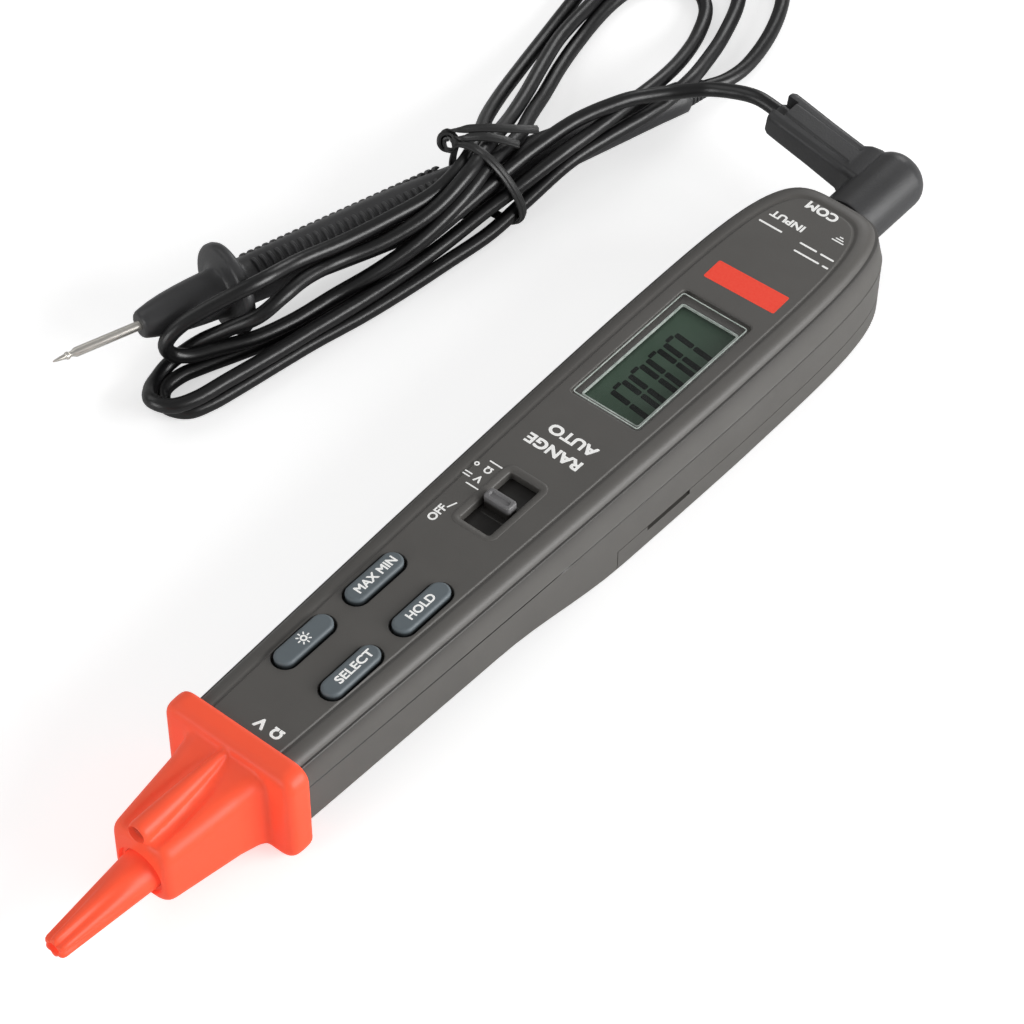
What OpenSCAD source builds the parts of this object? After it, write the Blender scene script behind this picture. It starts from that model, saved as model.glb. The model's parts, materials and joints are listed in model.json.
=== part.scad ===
// Pen multimeter with a sprung tip guard, a slide selector, four keys and one tied test lead.
// X runs from the tip (-) to the tail (+), Z comes out of the display, Y is across.
// The origin is on the table, under the middle of the meter.

/* [Body] */
// Half-distance from the origin to the tip and to the tail
half_l = 104; // [98:0.5:126]
// Widest width of the body
body_w = 31.6; // [27:0.2:38]
// Width of the body where it meets the nose
neck_w = 24.2; // [22:0.2:28]
// How much narrower the top face is than the body on each side, at its widest
face_in = 2.5; // [1.5:0.1:3.5]
// How much narrower the top face is on each side at the neck
face_neck_in = 1.7; // [1:0.1:2.5]
// Place along X where the body is widest
widest_x = 55; // [45:1:65]
// Wall of the plastic shells
wall = 1.8; // [1.4:0.1:2.2]
// Height of the underside at the neck
neck_z = 4; // [3:0.1:5]
// Rounded edge of the top face, measured down
edge_drop = 1.65; // [1:0.05:2]

/* [Battery bay] */
// Diameter of a cell
cell_d = 10.5; // [8.5:0.1:12.8]
// Length of a cell
cell_l = 44.5; // [37:0.1:48]
// Clearance round a cell
cell_gap = 0.25; // [0.15:0.05:0.4]
// Floor of the battery cover
cover_t = 1.5; // [1.2:0.1:2]
// Ceiling between the cells and the board
ceiling_t = 0.7; // [0.5:0.1:1.5]
// Front seam of the battery cover
cover_x0 = 20; // [16:0.5:22]
// Height of the cover's side seam
cover_seam_z = 5.8; // [5:0.1:7]

/* [Board and display] */
// Thickness of the circuit board
board_t = 1.6; // [1:0.1:2]
// Free height between the board and the inside of the top
above_board = 3.2; // [3:0.1:4.5]
// Middle of the display along X
display_x = 50; // [48:0.5:52]
// Length of the display window
window_l = 29; // [24:0.5:35]
// Width of the display window
window_w = 13; // [10.5:0.5:15.6]
// Thickness of the clear display window
lens_t = 1.1; // [0.8:0.1:1.2]

/* [Keys and selector] */
// Length of a key well
key_l = 14; // [11.6:0.2:16.8]
// Width of a key well
key_w = 5; // [4:0.1:6]
// Middle of the front keys
key_front_x = -38.1; // [-39:0.1:-38]
// Middle of the rear keys
key_rear_x = -20.4; // [-21:0.1:-19]
// Distance of the keys from the middle line
key_y = 5.2; // [4.8:0.1:5.6]
// Height of a key over the top face
key_proud = 0.9; // [0.8:0.1:1.5]
// Travel of a key
key_travel = 0.8; // [0.5:0.1:0.8]
// Middle of the selector slot
slot_x = 6.1; // [4:0.1:8]
// Length of the selector slot
slot_l = 13.6; // [11.5:0.1:16.4]
// Width of the selector slot
slot_w = 6.6; // [5.5:0.1:8]
// Travel of the selector to each side
slot_travel = 4.2; // [3:0.1:4.2]
// Clearance round the keys and the selector
slide_gap = 0.15; // [0.1:0.05:0.25]

/* [Nose] */
// Width of the red flange
flange_w = 29.4; // [26:0.2:34]
// Thickness of the flange
flange_t = 5; // [4:0.1:6]
// How far the flange stands over the top face
flange_proud = 1.3; // [1:0.1:2]
// Length of the nose in front of the flange
nose_l = 21; // [20:0.5:24]
// Width of the nose at the flange
nose_w = 16.6; // [14:0.2:19.6]
// Width of the nose at its front
nose_tip_w = 12.2; // [12:0.2:14]
// Height of the tip's axis
tip_z = 8.8; // [8.5:0.1:9.2]
// Depth of the torch's wires under the top face
torch_below = 3.5; // [3.2:0.1:3.8]
// How far the lamp stands over the run of its wires
lamp_rise = 1.8; // [1.5:0.1:2]
// Diameter of the torch lamp
torch_d = 3; // [2.5:0.1:3]

/* [Tip] */
// Travel of the sprung sleeve
sleeve_travel = 14; // [10:0.5:14]
// Radius of the sleeve at its end
sleeve_tip_r = 2.35; // [2:0.05:2.6]
// Radius of the sleeve at the nose
sleeve_r = 3.8; // [3.4:0.05:3.8]
// Radius of the bore that the sleeve slides in
chamber_r = 4.8; // [4.7:0.05:5]
// Radius of the needle
needle_r = 1; // [0.85:0.05:1.2]
// How far the needle's point lies behind the sleeve's end
needle_hidden = 8; // [7:0.5:10]
// Running clearance of the sleeve
run_gap = 0.2; // [0.1:0.05:0.3]

/* [Socket and lead] */
// Height of the socket's axis
socket_z = 11.8; // [11.7:0.1:12.5]
// Outer radius of the socket
socket_r = 5.5; // [5.2:0.1:5.6]
// Radius of the plug's pin
pin_r = 2; // [1.8:0.05:2.2]
// Clearance of the pin in its contact
pin_gap = 0.05; // [0.02:0.01:0.1]
// Radius of the plug's elbow
elbow_r = 5.85; // [5:0.05:6.5]
// Diameter of the cable
cable_d = 2.9; // [2.5:0.1:3.2]
// Radius of the probe's finger guard
guard_r = 9.3; // [8:0.1:9.3]
// Radius of the thickest part of the probe's grip
grip_r = 5.4; // [5:0.1:6]

/* [Hidden] */

$fn = 48;
sliver = 0.01;
far = 400;

// Heights, from the table up
cell_z = cover_t + cell_gap + cell_d / 2;
bay_top_z = cell_z + cell_d / 2 + cell_gap;
seam_z = bay_top_z + ceiling_t;
standoff = 0.2;
board_z = seam_z + standoff;
board_top_z = board_z + board_t;
roof_z = board_top_z + above_board;
deck_z = roof_z + wall;
floor_z = neck_z + wall;
torch_z = deck_z - torch_below;
lamp_z = torch_z + lamp_rise;

// Places along the body
tail_x = half_l;
tip_x = -half_l;
flange_x1 = -58;
flange_x0 = flange_x1 - flange_t;
nose_x0 = flange_x0 - nose_l;
spigot_l = 4;
spigot_x1 = flange_x1 + spigot_l;

// Plan of the body: half-widths along X
taper_power = 1.3;
tail_power = 4.3;
side_steps = 6;
tail_steps = 10;
function taper(x) = pow(max(0, (widest_x - x) / (widest_x - flange_x1)), taper_power);
function side_y(x, wide, neck) = wide - (wide - neck) * taper(x);
function side_points(wide, neck, x0) =
    [for (i = [0:side_steps - 1]) let (x = x0 + (widest_x - x0) * i / side_steps)
        [x, side_y(x, wide, neck)]];
function tail_points(wide, end_x) =
    [for (i = [0:tail_steps]) let (a = 90 - 90 * i / tail_steps)
        [widest_x + (end_x - widest_x) * pow(max(0, cos(a)), 2 / tail_power),
            wide * pow(max(0, sin(a)), 2 / tail_power)]];
function mirrored(points) =
    [for (i = [len(points) - 1:-1:0]) if (points[i][1] > sliver) [points[i][0], -points[i][1]]];
function plan(wide, neck, x0, end_x) =
    let (half = concat(side_points(wide, neck, x0), tail_points(wide, end_x)))
    concat(half, mirrored(half));

body_half = body_w / 2;
neck_half = neck_w / 2;
face_half = body_half - face_in;
face_neck_half = neck_half - face_neck_in;
edge_out = 0.9;
cavity_in = 0.6;
lower_in = wall + 0.6;
face_end_in = 0.8;
// Lower body: height, how far in at the sides, how far in at the tail
foot_levels = [[0, 5.2, 5], [1.6, 2.6, 2.5], [5.5, 0.7, 0.7]];

module slab(z, wide, neck, end_x) {
    translate([0, 0, z]) linear_extrude(sliver) polygon(plan(wide, neck, flange_x1, end_x));
}
module upper_form() {
    hull() {
        slab(seam_z, body_half, neck_half, tail_x);
        slab(deck_z - edge_drop, face_half + edge_out, face_neck_half + edge_out, tail_x - 0.3);
        slab(deck_z - sliver, face_half, face_neck_half, tail_x - face_end_in);
    }
}
module lower_form() {
    hull() {
        for (level = foot_levels)
            slab(level[0], body_half - level[1], neck_half - level[1], tail_x - level[2]);
        slab(seam_z - sliver, body_half, neck_half, tail_x);
    }
}
module plan_prism(inset, x0, x1, z0, z1) {
    intersection() {
        translate([0, 0, z0]) linear_extrude(z1 - z0)
            polygon(plan(body_half - inset, neck_half - inset, flange_x1 - 1, tail_x - inset));
        translate([x0, -far / 2, z0 - 1]) cube([x1 - x0, far, z1 - z0 + 2]);
    }
}
module block(x0, x1, y0, y1, z0, z1) {
    translate([x0, y0, z0]) cube([x1 - x0, y1 - y0, z1 - z0]);
}
// A cylinder along X
module rod_x(x0, x1, r, y, z) {
    translate([x0, y, z]) rotate([0, 90, 0]) cylinder(h = x1 - x0, r = r);
}
// A slot with round ends along X
module capsule(length, width, z0, z1) {
    translate([0, 0, z0]) linear_extrude(z1 - z0) {
        square([length - width, width], center = true);
        for (side = [-1, 1]) translate([side * (length - width) / 2, 0]) circle(width / 2);
    }
}
// A rounded rectangle across X
module rounded_section(x0, x1, half_y, z0, z1, r) {
    translate([x0, 0, 0]) rotate([90, 0, 90]) linear_extrude(x1 - x0) {
        translate([-half_y + r, z0]) square([2 * (half_y - r), z1 - z0]);
        translate([-half_y, z0 + r]) square([2 * half_y, z1 - z0 - 2 * r]);
        for (y = [-half_y + r, half_y - r], z = [z0 + r, z1 - r]) translate([y, z]) circle(r);
    }
}

// Sweeps: a smooth path through points, and a tube along a path
function spline_at(a, b, c, d, t) =
    0.5 * (2 * b + (c - a) * t + (2 * a - 5 * b + 4 * c - d) * t * t
        + (3 * b - a - 3 * c + d) * t * t * t);
function route_point(p, i) =
    i < 0 ? 2 * p[0] - p[1] : i > len(p) - 1 ? 2 * p[len(p) - 1] - p[len(p) - 2] : p[i];
function smooth(p, steps) = concat(
    [for (i = [0:len(p) - 2], k = [0:steps - 1])
        spline_at(route_point(p, i - 1), p[i], p[i + 1], route_point(p, i + 2), k / steps)],
    [p[len(p) - 1]]);
function unit(v) = v / norm(v);
function heading(p, i) = unit(p[min(i + 1, len(p) - 1)] - p[max(i - 1, 0)]);
module tube(path, r, sides, reference) {
    rings = len(path);
    points = [for (i = [0:rings - 1], k = [0:sides - 1])
        let (t = heading(path, i), u = unit(cross(reference, t)), v = cross(t, u))
        path[i] + r * cos(360 * k / sides) * u + r * sin(360 * k / sides) * v];
    walls = [for (i = [0:rings - 2], k = [0:sides - 1]) let (n = (k + 1) % sides)
        each [[i * sides + k, (i + 1) * sides + k, i * sides + n],
            [(i + 1) * sides + k, (i + 1) * sides + n, i * sides + n]]];
    first = [for (k = [0:sides - 1]) k];
    last = [for (k = [sides - 1:-1:0]) (rings - 1) * sides + k];
    polyhedron(points, concat([first], walls, [last]));
}
// A helix along X, whose radius may change on the way
function coil_path(x0, x1, r0, r1, turns, y, z) =
    let (n = turns * 12)
    [for (i = [0:n]) let (f = i / n, a = 360 * turns * f, r = r0 + (r1 - r0) * f)
        [x0 + (x1 - x0) * f, y + r * cos(a), z + r * sin(a)]];

// Battery bay
cell_pitch = cell_d + 2 * cell_gap;
cell_y = cell_pitch / 2;
bay_half_w = cell_pitch;
plate_t = 0.4;
spring_room = 5.5;
bay_x0 = cover_x0 + 6;
bay_x1 = bay_x0 + 2 * plate_t + cell_l + spring_room;
cover_x1 = tail_x - 6;
screw_block_x = cover_x0 + 2.2;

// Screws
screw_r = 1;
screw_gap = 0.05;
head_r = 1.9;
head_h = 1.4;
head_seat_z = floor_z + head_h + 0.1;
post_r = 2.9;
boss_r = 2.2;
case_screw_x = [spigot_x1 + 4.5, tail_x - 18];
case_screw_y = [neck_half - 4, body_half - 5.4];
case_screw_top = roof_z - 0.8;
post_foot_z = [floor_z - 0.5, cover_seam_z + 1];
board_screw_places = [[-29.25, 0], [16.5, 9.6], [16.5, -9.6]];
board_screw_r = 0.9;
board_head_r = 1.6;
board_head_h = 0.8;

module at_case_screws() {
    for (i = [0, 1], side = [-1, 1])
        translate([case_screw_x[i], side * case_screw_y[i], 0]) children();
}

// Display
glass_t = 2;
strip_h = 0.9;
glass_z = board_top_z + strip_h;
lens_border = 1.4;
recess_gap = 0.15;
recess_l = window_l + 2 * lens_border + 2 * recess_gap;
recess_w = window_w + 2 * lens_border - 0.5;
recess_d = lens_t + 0.1;
glass_l = window_l + 7;
glass_w = window_w + 4;
holder_wall = 1;
holder_gap = 0.15;

// Keys: the cap in its well, with a lip under the roof
key_lip = 0.8;
key_lip_t = 1;
key_lip_z = roof_z - 0.3 - key_lip_t;
key_stem_r = 1.2;
switch_h = 0.6;
key_top_z = deck_z + key_proud;
key_stem_z = board_top_z + switch_h + key_travel + 0.1;

// Selector
carrier_half = slot_l / 2 + slot_travel;
carrier_t = 1.1;
carrier_z = roof_z - 0.1 - carrier_t;
carrier_half_w = slot_w / 2 + 1.7;
slider_half = slot_l / 2 - slot_travel - 0.1;
slider_z = deck_z - 0.7;
ridge_half = 1.3;
ridge_top_z = deck_z + 1.2;

// Board outline and tail parts
board_x0 = -42;
board_x1 = tail_x - 24;
board_in = wall + 1.5;
socket_x0 = tail_x - 20;
socket_x1 = tail_x - 0.4;
contact_r = pin_r + pin_gap + 0.9;
shroud_r = socket_r - 1.2;
shroud_gap = 0.2;
shroud_wall = 0.8;

// Nose and tip
nose_wall = 1.3;
chamber_x0 = nose_x0 + nose_wall;
recess_r = sleeve_r + 0.9;
shoulder_l = 3;
shoulder_r = chamber_r - run_gap;
shoulder_x0 = chamber_x0 + 0.05;
sleeve_x1 = shoulder_x0 + shoulder_l;
holder_x0 = flange_x0 + 1;
chamber_x1 = flange_x1 - 1.2;
holder_neck_r = 2.4;
holder_tail = 1.6;
needle_x0 = tip_x + needle_hidden;
needle_x1 = spigot_x1 + 7;
needle_gap = 0.15;
wire_r = 0.3;
spring_r = chamber_r - run_gap - 2 * wire_r - 0.4;
spring_room_pressed = holder_x0 - sleeve_x1 - sleeve_travel;
spring_turns = min(6, floor(spring_room_pressed / (2 * wire_r)) - 1);
flange_top_z = deck_z + flange_proud;
led_rim_r = torch_d / 2 + 0.1;
led_pitch = 2.54;
led_wire_r = 0.22;

// Plug: its elbow lies along X and its boot leans up along +Y
elbow_x0 = tail_x + 0.6;
elbow_l = 19.4;
boot_x = tail_x + 14.5;
boot_l = 26;
boot_rise = 3.2;
boot_w = 9.5;
boot_h = 7.6;
boot_tilt = atan2(boot_rise, boot_l);

// Route of the cable from the boot to the tied bundle, where it goes in
lead_route = [[118.5, 26, 15], [118.5, 31, 15.5], [118, 36, 14.5], [116.5, 41.5, 13],
    [112.5, 46, 12.5], [109.5, 48.2, 12.8]];

// Outline of the tied bundle and its height, chosen by hand round the turns of the cable
hank_outline = [[-7, 70], [-6, 66], [-2, 63.5], [8, 62], [22, 60], [38, 57], [52, 54.5],
    [66, 52], [80, 50.5], [95, 48.5], [110, 46.5], [119, 47], [120.5, 42.5], [130, 42],
    [140, 43.5], [150, 46.5], [160, 52], [167, 60], [170, 71], [167, 82], [160, 88],
    [150, 90], [138, 87.5], [128, 84.5], [116, 82], [104, 78.5], [94, 77], [86, 74.5],
    [76, 71.5], [64, 70.5], [50, 72], [36, 74], [20, 78.6], [8, 80.6], [0, 80.6], [-5, 77]];
hank_h = 18.6;
tie_x = 74.4;
tie_w = 3;
tie_t = 0.5;
tie_gap = 0.2;
tie_y0 = 50.9;
tie_y1 = 72.2;
tie_z0 = 0.02;
tie_z1 = 17.9;

// Probe: it lies across the bundle, its guard and its tail on the table
probe_front = [3.6, 83.2, 10.6];
probe_tail = [120.4, 50.1, 3.4];
probe_line = probe_tail - probe_front;
probe_l = norm(probe_line);
guard_s = 17.3;
guard_t = 2.5;
tail_r = 3.2;
relief_l = 5;
probe_gap = 0.3;
probe_needle_r = 1;
probe_needle_out = 17.8;
probe_needle_in = 20;
probe_root_r = 1.4;

module along_probe() {
    translate(probe_front)
        rotate([0, acos(probe_line[2] / probe_l), atan2(probe_line[1], probe_line[0])])
            children();
}
function probe_profile(gap, past) = [[0, -gap], [3.4 + gap, -gap], [3.8 + gap, 1.2],
    [4.8 + gap, 15], [4.8 + gap, guard_s - gap], [guard_r + gap, guard_s - gap],
    [guard_r + gap, guard_s + guard_t + gap], [4.5 + gap, guard_s + guard_t + gap],
    [4.5 + gap, 25], [grip_r + gap, 55], [tail_r + gap, probe_l - 3],
    [tail_r + gap, probe_l + past], [0, probe_l + past]];

shell_colour = [0.34, 0.335, 0.33];
red_colour = [0.93, 0.28, 0.18];
key_colour = [0.36, 0.4, 0.42];
metal_colour = [0.78, 0.76, 0.72];
cable_colour = [0.06, 0.06, 0.065];
board_colour = [0.1, 0.4, 0.2];

// The groove rib that holds the nose's spigot, cut or added at the same place
module spigot_rib(gap, z0, z1) {
    difference() {
        plan_prism(lower_in - 0.4, flange_x1 + 1.5 + gap, flange_x1 + 2.5 - gap, z0, z1);
        rounded_section(flange_x1, spigot_x1, neck_half - 4.4, floor_z + 0.9, roof_z - 0.9, 2);
        rod_x(flange_x1, spigot_x1, holder_neck_r + 0.05, 0, tip_z);
    }
}

module upper_shell() color(shell_colour) difference() {
    union() {
        difference() {
            upper_form();
            translate([0, 0, seam_z - 1]) linear_extrude(roof_z - seam_z + 1)
                polygon(plan(face_half - cavity_in, face_neck_half - cavity_in,
                    flange_x1 - 1, tail_x - wall - 0.6));
        }
        at_case_screws() translate([0, 0, seam_z]) cylinder(h = roof_z - seam_z + 0.3, r = boss_r);
        spigot_rib(0, seam_z, roof_z + 0.1);
    }
    at_case_screws() translate([0, 0, seam_z - 1])
        cylinder(h = case_screw_top + 0.3 - seam_z + 1, r = screw_r + screw_gap);
    for (x = [key_front_x, key_rear_x], side = [-1, 1])
        translate([x, side * key_y, 0]) capsule(key_l, key_w, roof_z - 1, deck_z + 1);
    translate([slot_x, 0, 0]) block(-slot_l / 2, slot_l / 2, -slot_w / 2, slot_w / 2,
        roof_z - 1, deck_z + 1);
    translate([display_x, 0, 0]) {
        block(-window_l / 2, window_l / 2, -window_w / 2, window_w / 2, roof_z - 1, deck_z + 1);
        block(-recess_l / 2, recess_l / 2, -recess_w / 2, recess_w / 2,
            deck_z - recess_d, deck_z + 1);
    }
    rod_x(socket_x0 - 2, tail_x + 2, socket_r + screw_gap, 0, socket_z);
}

module underside_relief() {
    translate([0, far / 2, 0]) rotate([90, 0, 0]) linear_extrude(far)
        polygon([[flange_x1 - 5, -1], [cover_x0 + 4, -1], [cover_x0 + 2, 0], [-10, neck_z],
            [flange_x1 - 5, neck_z]]);
}

module lower_shell() color(shell_colour) difference() {
    union() {
        difference() {
            lower_form();
            underside_relief();
            block(cover_x0, cover_x1, -far / 2, far / 2, -1, cover_seam_z);
            plan_prism(lower_in, flange_x1 - 1, cover_x0 - wall, floor_z, seam_z + 1);
            plan_prism(lower_in, bay_x1 + wall, tail_x - wall - 0.6,
                max(cover_seam_z + wall, floor_z), seam_z + 1);
            block(bay_x0, bay_x1, -bay_half_w, bay_half_w, -1, bay_top_z);
        }
        for (i = [0, 1], side = [-1, 1])
            translate([case_screw_x[i], side * case_screw_y[i], post_foot_z[i]])
                cylinder(h = seam_z - post_foot_z[i], r = post_r);
        for (place = board_screw_places) translate([place[0], place[1], floor_z - 0.5])
            cylinder(h = board_z - floor_z + 0.5, r = 2);
        for (x = [bay_x0 + 6, bay_x1 - 4], side = [-1, 1])
            translate([x, side * (bay_half_w - 2), seam_z - 0.3])
                cylinder(h = standoff + 0.3, r = 1.5);
        spigot_rib(0, floor_z - 0.3, seam_z);
        difference() {
            plan_prism(lower_in - 0.4, spigot_x1 + 0.4, spigot_x1 + 1.4, floor_z - 0.3, seam_z);
            rod_x(flange_x1, 0, holder_neck_r + 0.05, 0, tip_z);
            block(flange_x1, 0, -holder_neck_r - 0.05, holder_neck_r + 0.05, tip_z, seam_z + 1);
        }
    }
    at_case_screws() {
        cylinder(h = head_seat_z, r = head_r + 0.15);
        cylinder(h = far, r = screw_r + screw_gap);
    }
    for (place = board_screw_places) translate([place[0], place[1], board_z - 5.4])
        cylinder(h = far, r = board_screw_r + screw_gap);
    translate([screw_block_x, 0, 0]) cylinder(h = seam_z - 2, r = screw_r + screw_gap);
    rod_x(socket_x0 - 2, tail_x + 2, socket_r + screw_gap, 0, socket_z);
    block(cover_x1 - 1, cover_x1 + 1.4, -5.2, 5.2, 2, 3.6);
}

module battery_cover() color(shell_colour) difference() {
    union() {
        intersection() {
            lower_form();
            block(cover_x0 + slide_gap, cover_x1 - slide_gap, -far / 2, far / 2, -1, cover_seam_z);
        }
        block(cover_x1 - 2, cover_x1 + 1.2, -5, 5, 2.15, 3.45);
    }
    underside_relief();
    block(bay_x0 - 2, tail_x - 16, -bay_half_w, bay_half_w, cover_t, cover_seam_z + 1);
    block(cover_x0 + 8, cover_x0 + 19.5, -far / 2, -bay_half_w - 0.8,
        cover_seam_z - 1.2, cover_seam_z + 1);
    translate([screw_block_x, 0, -1]) cylinder(h = far, r = screw_r + 0.25);
    translate([screw_block_x, 0, -1]) cylinder(h = 1 + head_h + 0.3, r = head_r + 0.2);
}

// A pan-head screw with its head down at height z, pointing up
module screw_up(z, length, r, head, head_height) {
    translate([0, 0, z]) difference() {
        union() {
            cylinder(h = head_height, r = head);
            cylinder(h = head_height + length, r = r);
        }
        for (turn = [0, 90]) rotate([0, 0, turn])
            translate([-head * 0.6, -0.25, -1]) cube([head * 1.2, 0.5, 1.5]);
    }
}
module cover_screw() color(metal_colour) translate([screw_block_x, 0, 0])
    screw_up(0.3, seam_z - 2.6 - head_h, screw_r, head_r, head_h);
module case_screws() color(metal_colour) at_case_screws()
    screw_up(head_seat_z - head_h, case_screw_top - head_seat_z, screw_r, head_r, head_h);
module board_screws() color(metal_colour) for (place = board_screw_places)
    translate([place[0], place[1], 0]) mirror([0, 0, 1])
        screw_up(-board_top_z - board_head_h, board_t + 4.6, board_screw_r, board_head_r,
            board_head_h);

module nose_guard() color(red_colour) difference() {
    union() {
        rounded_section(flange_x0, flange_x1, flange_w / 2, 0, flange_top_z, 4);
        hull() {
            rounded_section(flange_x0, flange_x0 + sliver, nose_w / 2, 0.8, deck_z - 1.4, 2.2,
                $fn = 24);
            rounded_section(nose_x0, nose_x0 + sliver, nose_tip_w / 2, 2.9, torch_z + 0.9, 2.6,
                $fn = 24);
        }
        hull() {
            rod_x(flange_x0, flange_x0 + sliver, 2.3, 0, lamp_z + 0.1, $fn = 24);
            rod_x(nose_x0, nose_x0 + sliver, 2.1, 0, lamp_z, $fn = 24);
        }
        difference() {
            rounded_section(flange_x1 - 0.5, spigot_x1, neck_half - 3.2, floor_z + 0.15,
                roof_z - 0.15, 2);
            difference() {
                block(flange_x1 + 1.4, flange_x1 + 2.6, -far / 2, far / 2, 0, far);
                rounded_section(flange_x1, spigot_x1, neck_half - 4.5, floor_z + 1,
                    roof_z - 1, 2);
            }
        }
    }
    rod_x(nose_x0 - 1, chamber_x0 + 1, sleeve_r + run_gap, 0, tip_z);
    rod_x(nose_x0 - 1, nose_x0 + 0.6, recess_r, 0, tip_z);
    rod_x(chamber_x0, chamber_x1, chamber_r, 0, tip_z);
    rod_x(chamber_x1 - 1, spigot_x1 + 1, holder_neck_r + 0.05, 0, tip_z);
    rod_x(nose_x0 - 1, nose_x0 + 7, led_rim_r + 0.1, 0, lamp_z);
    block(nose_x0 + 6, nose_x0 + 7.3, -1.7, 1.7, torch_z - 0.5, lamp_z + 0.3);
    block(nose_x0 + 6, spigot_x1 + 1, -1.7, 1.7, torch_z - 0.5, torch_z + 0.5);
}

// Profile across the axis: radius and place along X
module turned_x(profile, z) {
    translate([0, 0, z]) rotate([0, 90, 0]) rotate_extrude() polygon(profile);
}
module tip_sleeve() color(red_colour) {
    needle_bore = needle_r + needle_gap;
    turned_x([[needle_bore, tip_x], [sleeve_tip_r - 0.5, tip_x], [sleeve_tip_r, tip_x + 0.6],
        [sleeve_r, nose_x0 - 0.5], [sleeve_r, shoulder_x0], [shoulder_r, shoulder_x0],
        [shoulder_r, sleeve_x1], [needle_bore + 0.6, sleeve_x1],
        [needle_bore + 0.6, tip_x + 6], [needle_bore, tip_x + 6]], tip_z);
}
module sleeve_spring() color(metal_colour)
    tube(coil_path(sleeve_x1 + wire_r + 0.1, holder_x0 - wire_r - 0.1, spring_r, spring_r,
        spring_turns, 0, tip_z), wire_r, 6, [1, 0, 0]);
module meter_needle() color(metal_colour)
    turned_x([[0, needle_x0], [0.25, needle_x0], [needle_r, needle_x0 + 3.2],
        [needle_r, needle_x1], [0, needle_x1]], tip_z);
module needle_holder() color([0.85, 0.83, 0.78])
    turned_x([[needle_r + 0.02, holder_x0], [chamber_r - 0.05, holder_x0],
        [chamber_r - 0.05, chamber_x1 - 0.02], [holder_neck_r, chamber_x1 - 0.02],
        [holder_neck_r, spigot_x1 + holder_tail],
        [needle_r + 0.02, spigot_x1 + holder_tail]], tip_z);
module tip_contact() color(metal_colour) {
    strip_z = tip_z + needle_r + 0.02;
    block(needle_x1 - 3.4, board_x0 + 2, -1.2, 1.2, strip_z, strip_z + 0.3);
    block(board_x0 + 1.7, board_x0 + 2, -1.2, 1.2, strip_z, board_z);
}
module torch_lamp() color([0.92, 0.94, 0.96]) {
    body_x0 = nose_x0 + 1.8;
    rim_x0 = body_x0 + 3.4;
    bend_x = nose_x0 + 6.7;
    lamp_r = torch_d / 2;
    turned_x([[0, body_x0 - lamp_r], [lamp_r * 0.5, body_x0 - lamp_r * 0.87],
        [lamp_r * 0.87, body_x0 - lamp_r * 0.5], [lamp_r, body_x0], [lamp_r, rim_x0],
        [led_rim_r, rim_x0], [led_rim_r, rim_x0 + 1], [0, rim_x0 + 1]], lamp_z);
    for (side = [-1, 1]) {
        rod_x(rim_x0 + 0.5, bend_x + led_wire_r, led_wire_r, side * led_pitch / 2, lamp_z,
            $fn = 16);
        translate([bend_x, side * led_pitch / 2, torch_z])
            cylinder(h = lamp_z - torch_z, r = led_wire_r, $fn = 16);
        rod_x(bend_x - led_wire_r, board_x0 + 1, led_wire_r, side * led_pitch / 2, torch_z,
            $fn = 16);
        translate([board_x0 + 1 - led_wire_r, side * led_pitch / 2, board_top_z])
            cylinder(h = torch_z - board_top_z, r = led_wire_r, $fn = 16);
    }
}

module display_lens() color([0.75, 0.8, 0.78, 0.5]) translate([display_x, 0, 0])
    block(-recess_l / 2 + recess_gap, recess_l / 2 - recess_gap, -recess_w / 2 + recess_gap,
        recess_w / 2 - recess_gap, deck_z - recess_d, deck_z - 0.1);
module display_glass() color([0.3, 0.38, 0.3]) translate([display_x, 0, 0])
    block(-glass_l / 2, glass_l / 2, -glass_w / 2, glass_w / 2, glass_z, glass_z + glass_t);
module display_holder() color([0.85, 0.85, 0.82]) translate([display_x, 0, 0]) {
    out_l = glass_l / 2 + holder_gap + holder_wall;
    out_w = glass_w / 2 + holder_gap + holder_wall;
    difference() {
        block(-out_l, out_l, -out_w, out_w, board_top_z, glass_z + glass_t + 0.2);
        block(-out_l + holder_wall, out_l - holder_wall, -out_w + holder_wall,
            out_w - holder_wall, glass_z, far);
        block(-out_l + holder_wall + 1, out_l - holder_wall - 1, -out_w + holder_wall,
            out_w - holder_wall, board_top_z - 1, far);
    }
}
module contact_strips() color([0.9, 0.55, 0.6]) translate([display_x, 0, 0])
    for (side = [-1, 1]) translate([0, side * (glass_w / 2 - 1), 0])
        block(-glass_l / 2 + 2, glass_l / 2 - 2, -0.8, 0.8, board_top_z, glass_z);

module circuit_board() color(board_colour) difference() {
    translate([0, 0, board_z]) linear_extrude(board_t) intersection() {
        polygon(plan(face_half - cavity_in - 0.4, face_neck_half - cavity_in - 0.4, board_x0,
            tail_x - 4));
        translate([board_x0, -far / 2]) square([board_x1 - board_x0, far]);
    }
    for (place = board_screw_places) translate([place[0], place[1], board_z - 1])
        cylinder(h = 4, r = board_screw_r + 0.2);
}

module key(x, side) color(key_colour) translate([x, side * key_y, 0]) {
    capsule(key_l - 2 * slide_gap, key_w - 2 * slide_gap, key_lip_z, key_top_z);
    capsule(key_l + key_lip, key_w + key_lip, key_lip_z, key_lip_z + key_lip_t);
    translate([0, 0, key_stem_z]) cylinder(h = key_lip_z - key_stem_z + 0.5, r = key_stem_r);
}
module key_light() { key(key_front_x, 1); }
module key_select() { key(key_front_x, -1); }
module key_max_min() { key(key_rear_x, 1); }
module key_hold() { key(key_rear_x, -1); }
module key_switches() color([0.7, 0.7, 0.68])
    for (x = [key_front_x, key_rear_x], side = [-1, 1]) translate([x, side * key_y, board_top_z])
        intersection() {
            cylinder(h = switch_h, r = 3);
            block(-2.4, 2.4, -2.4, 2.4, 0, switch_h);
        }

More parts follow.
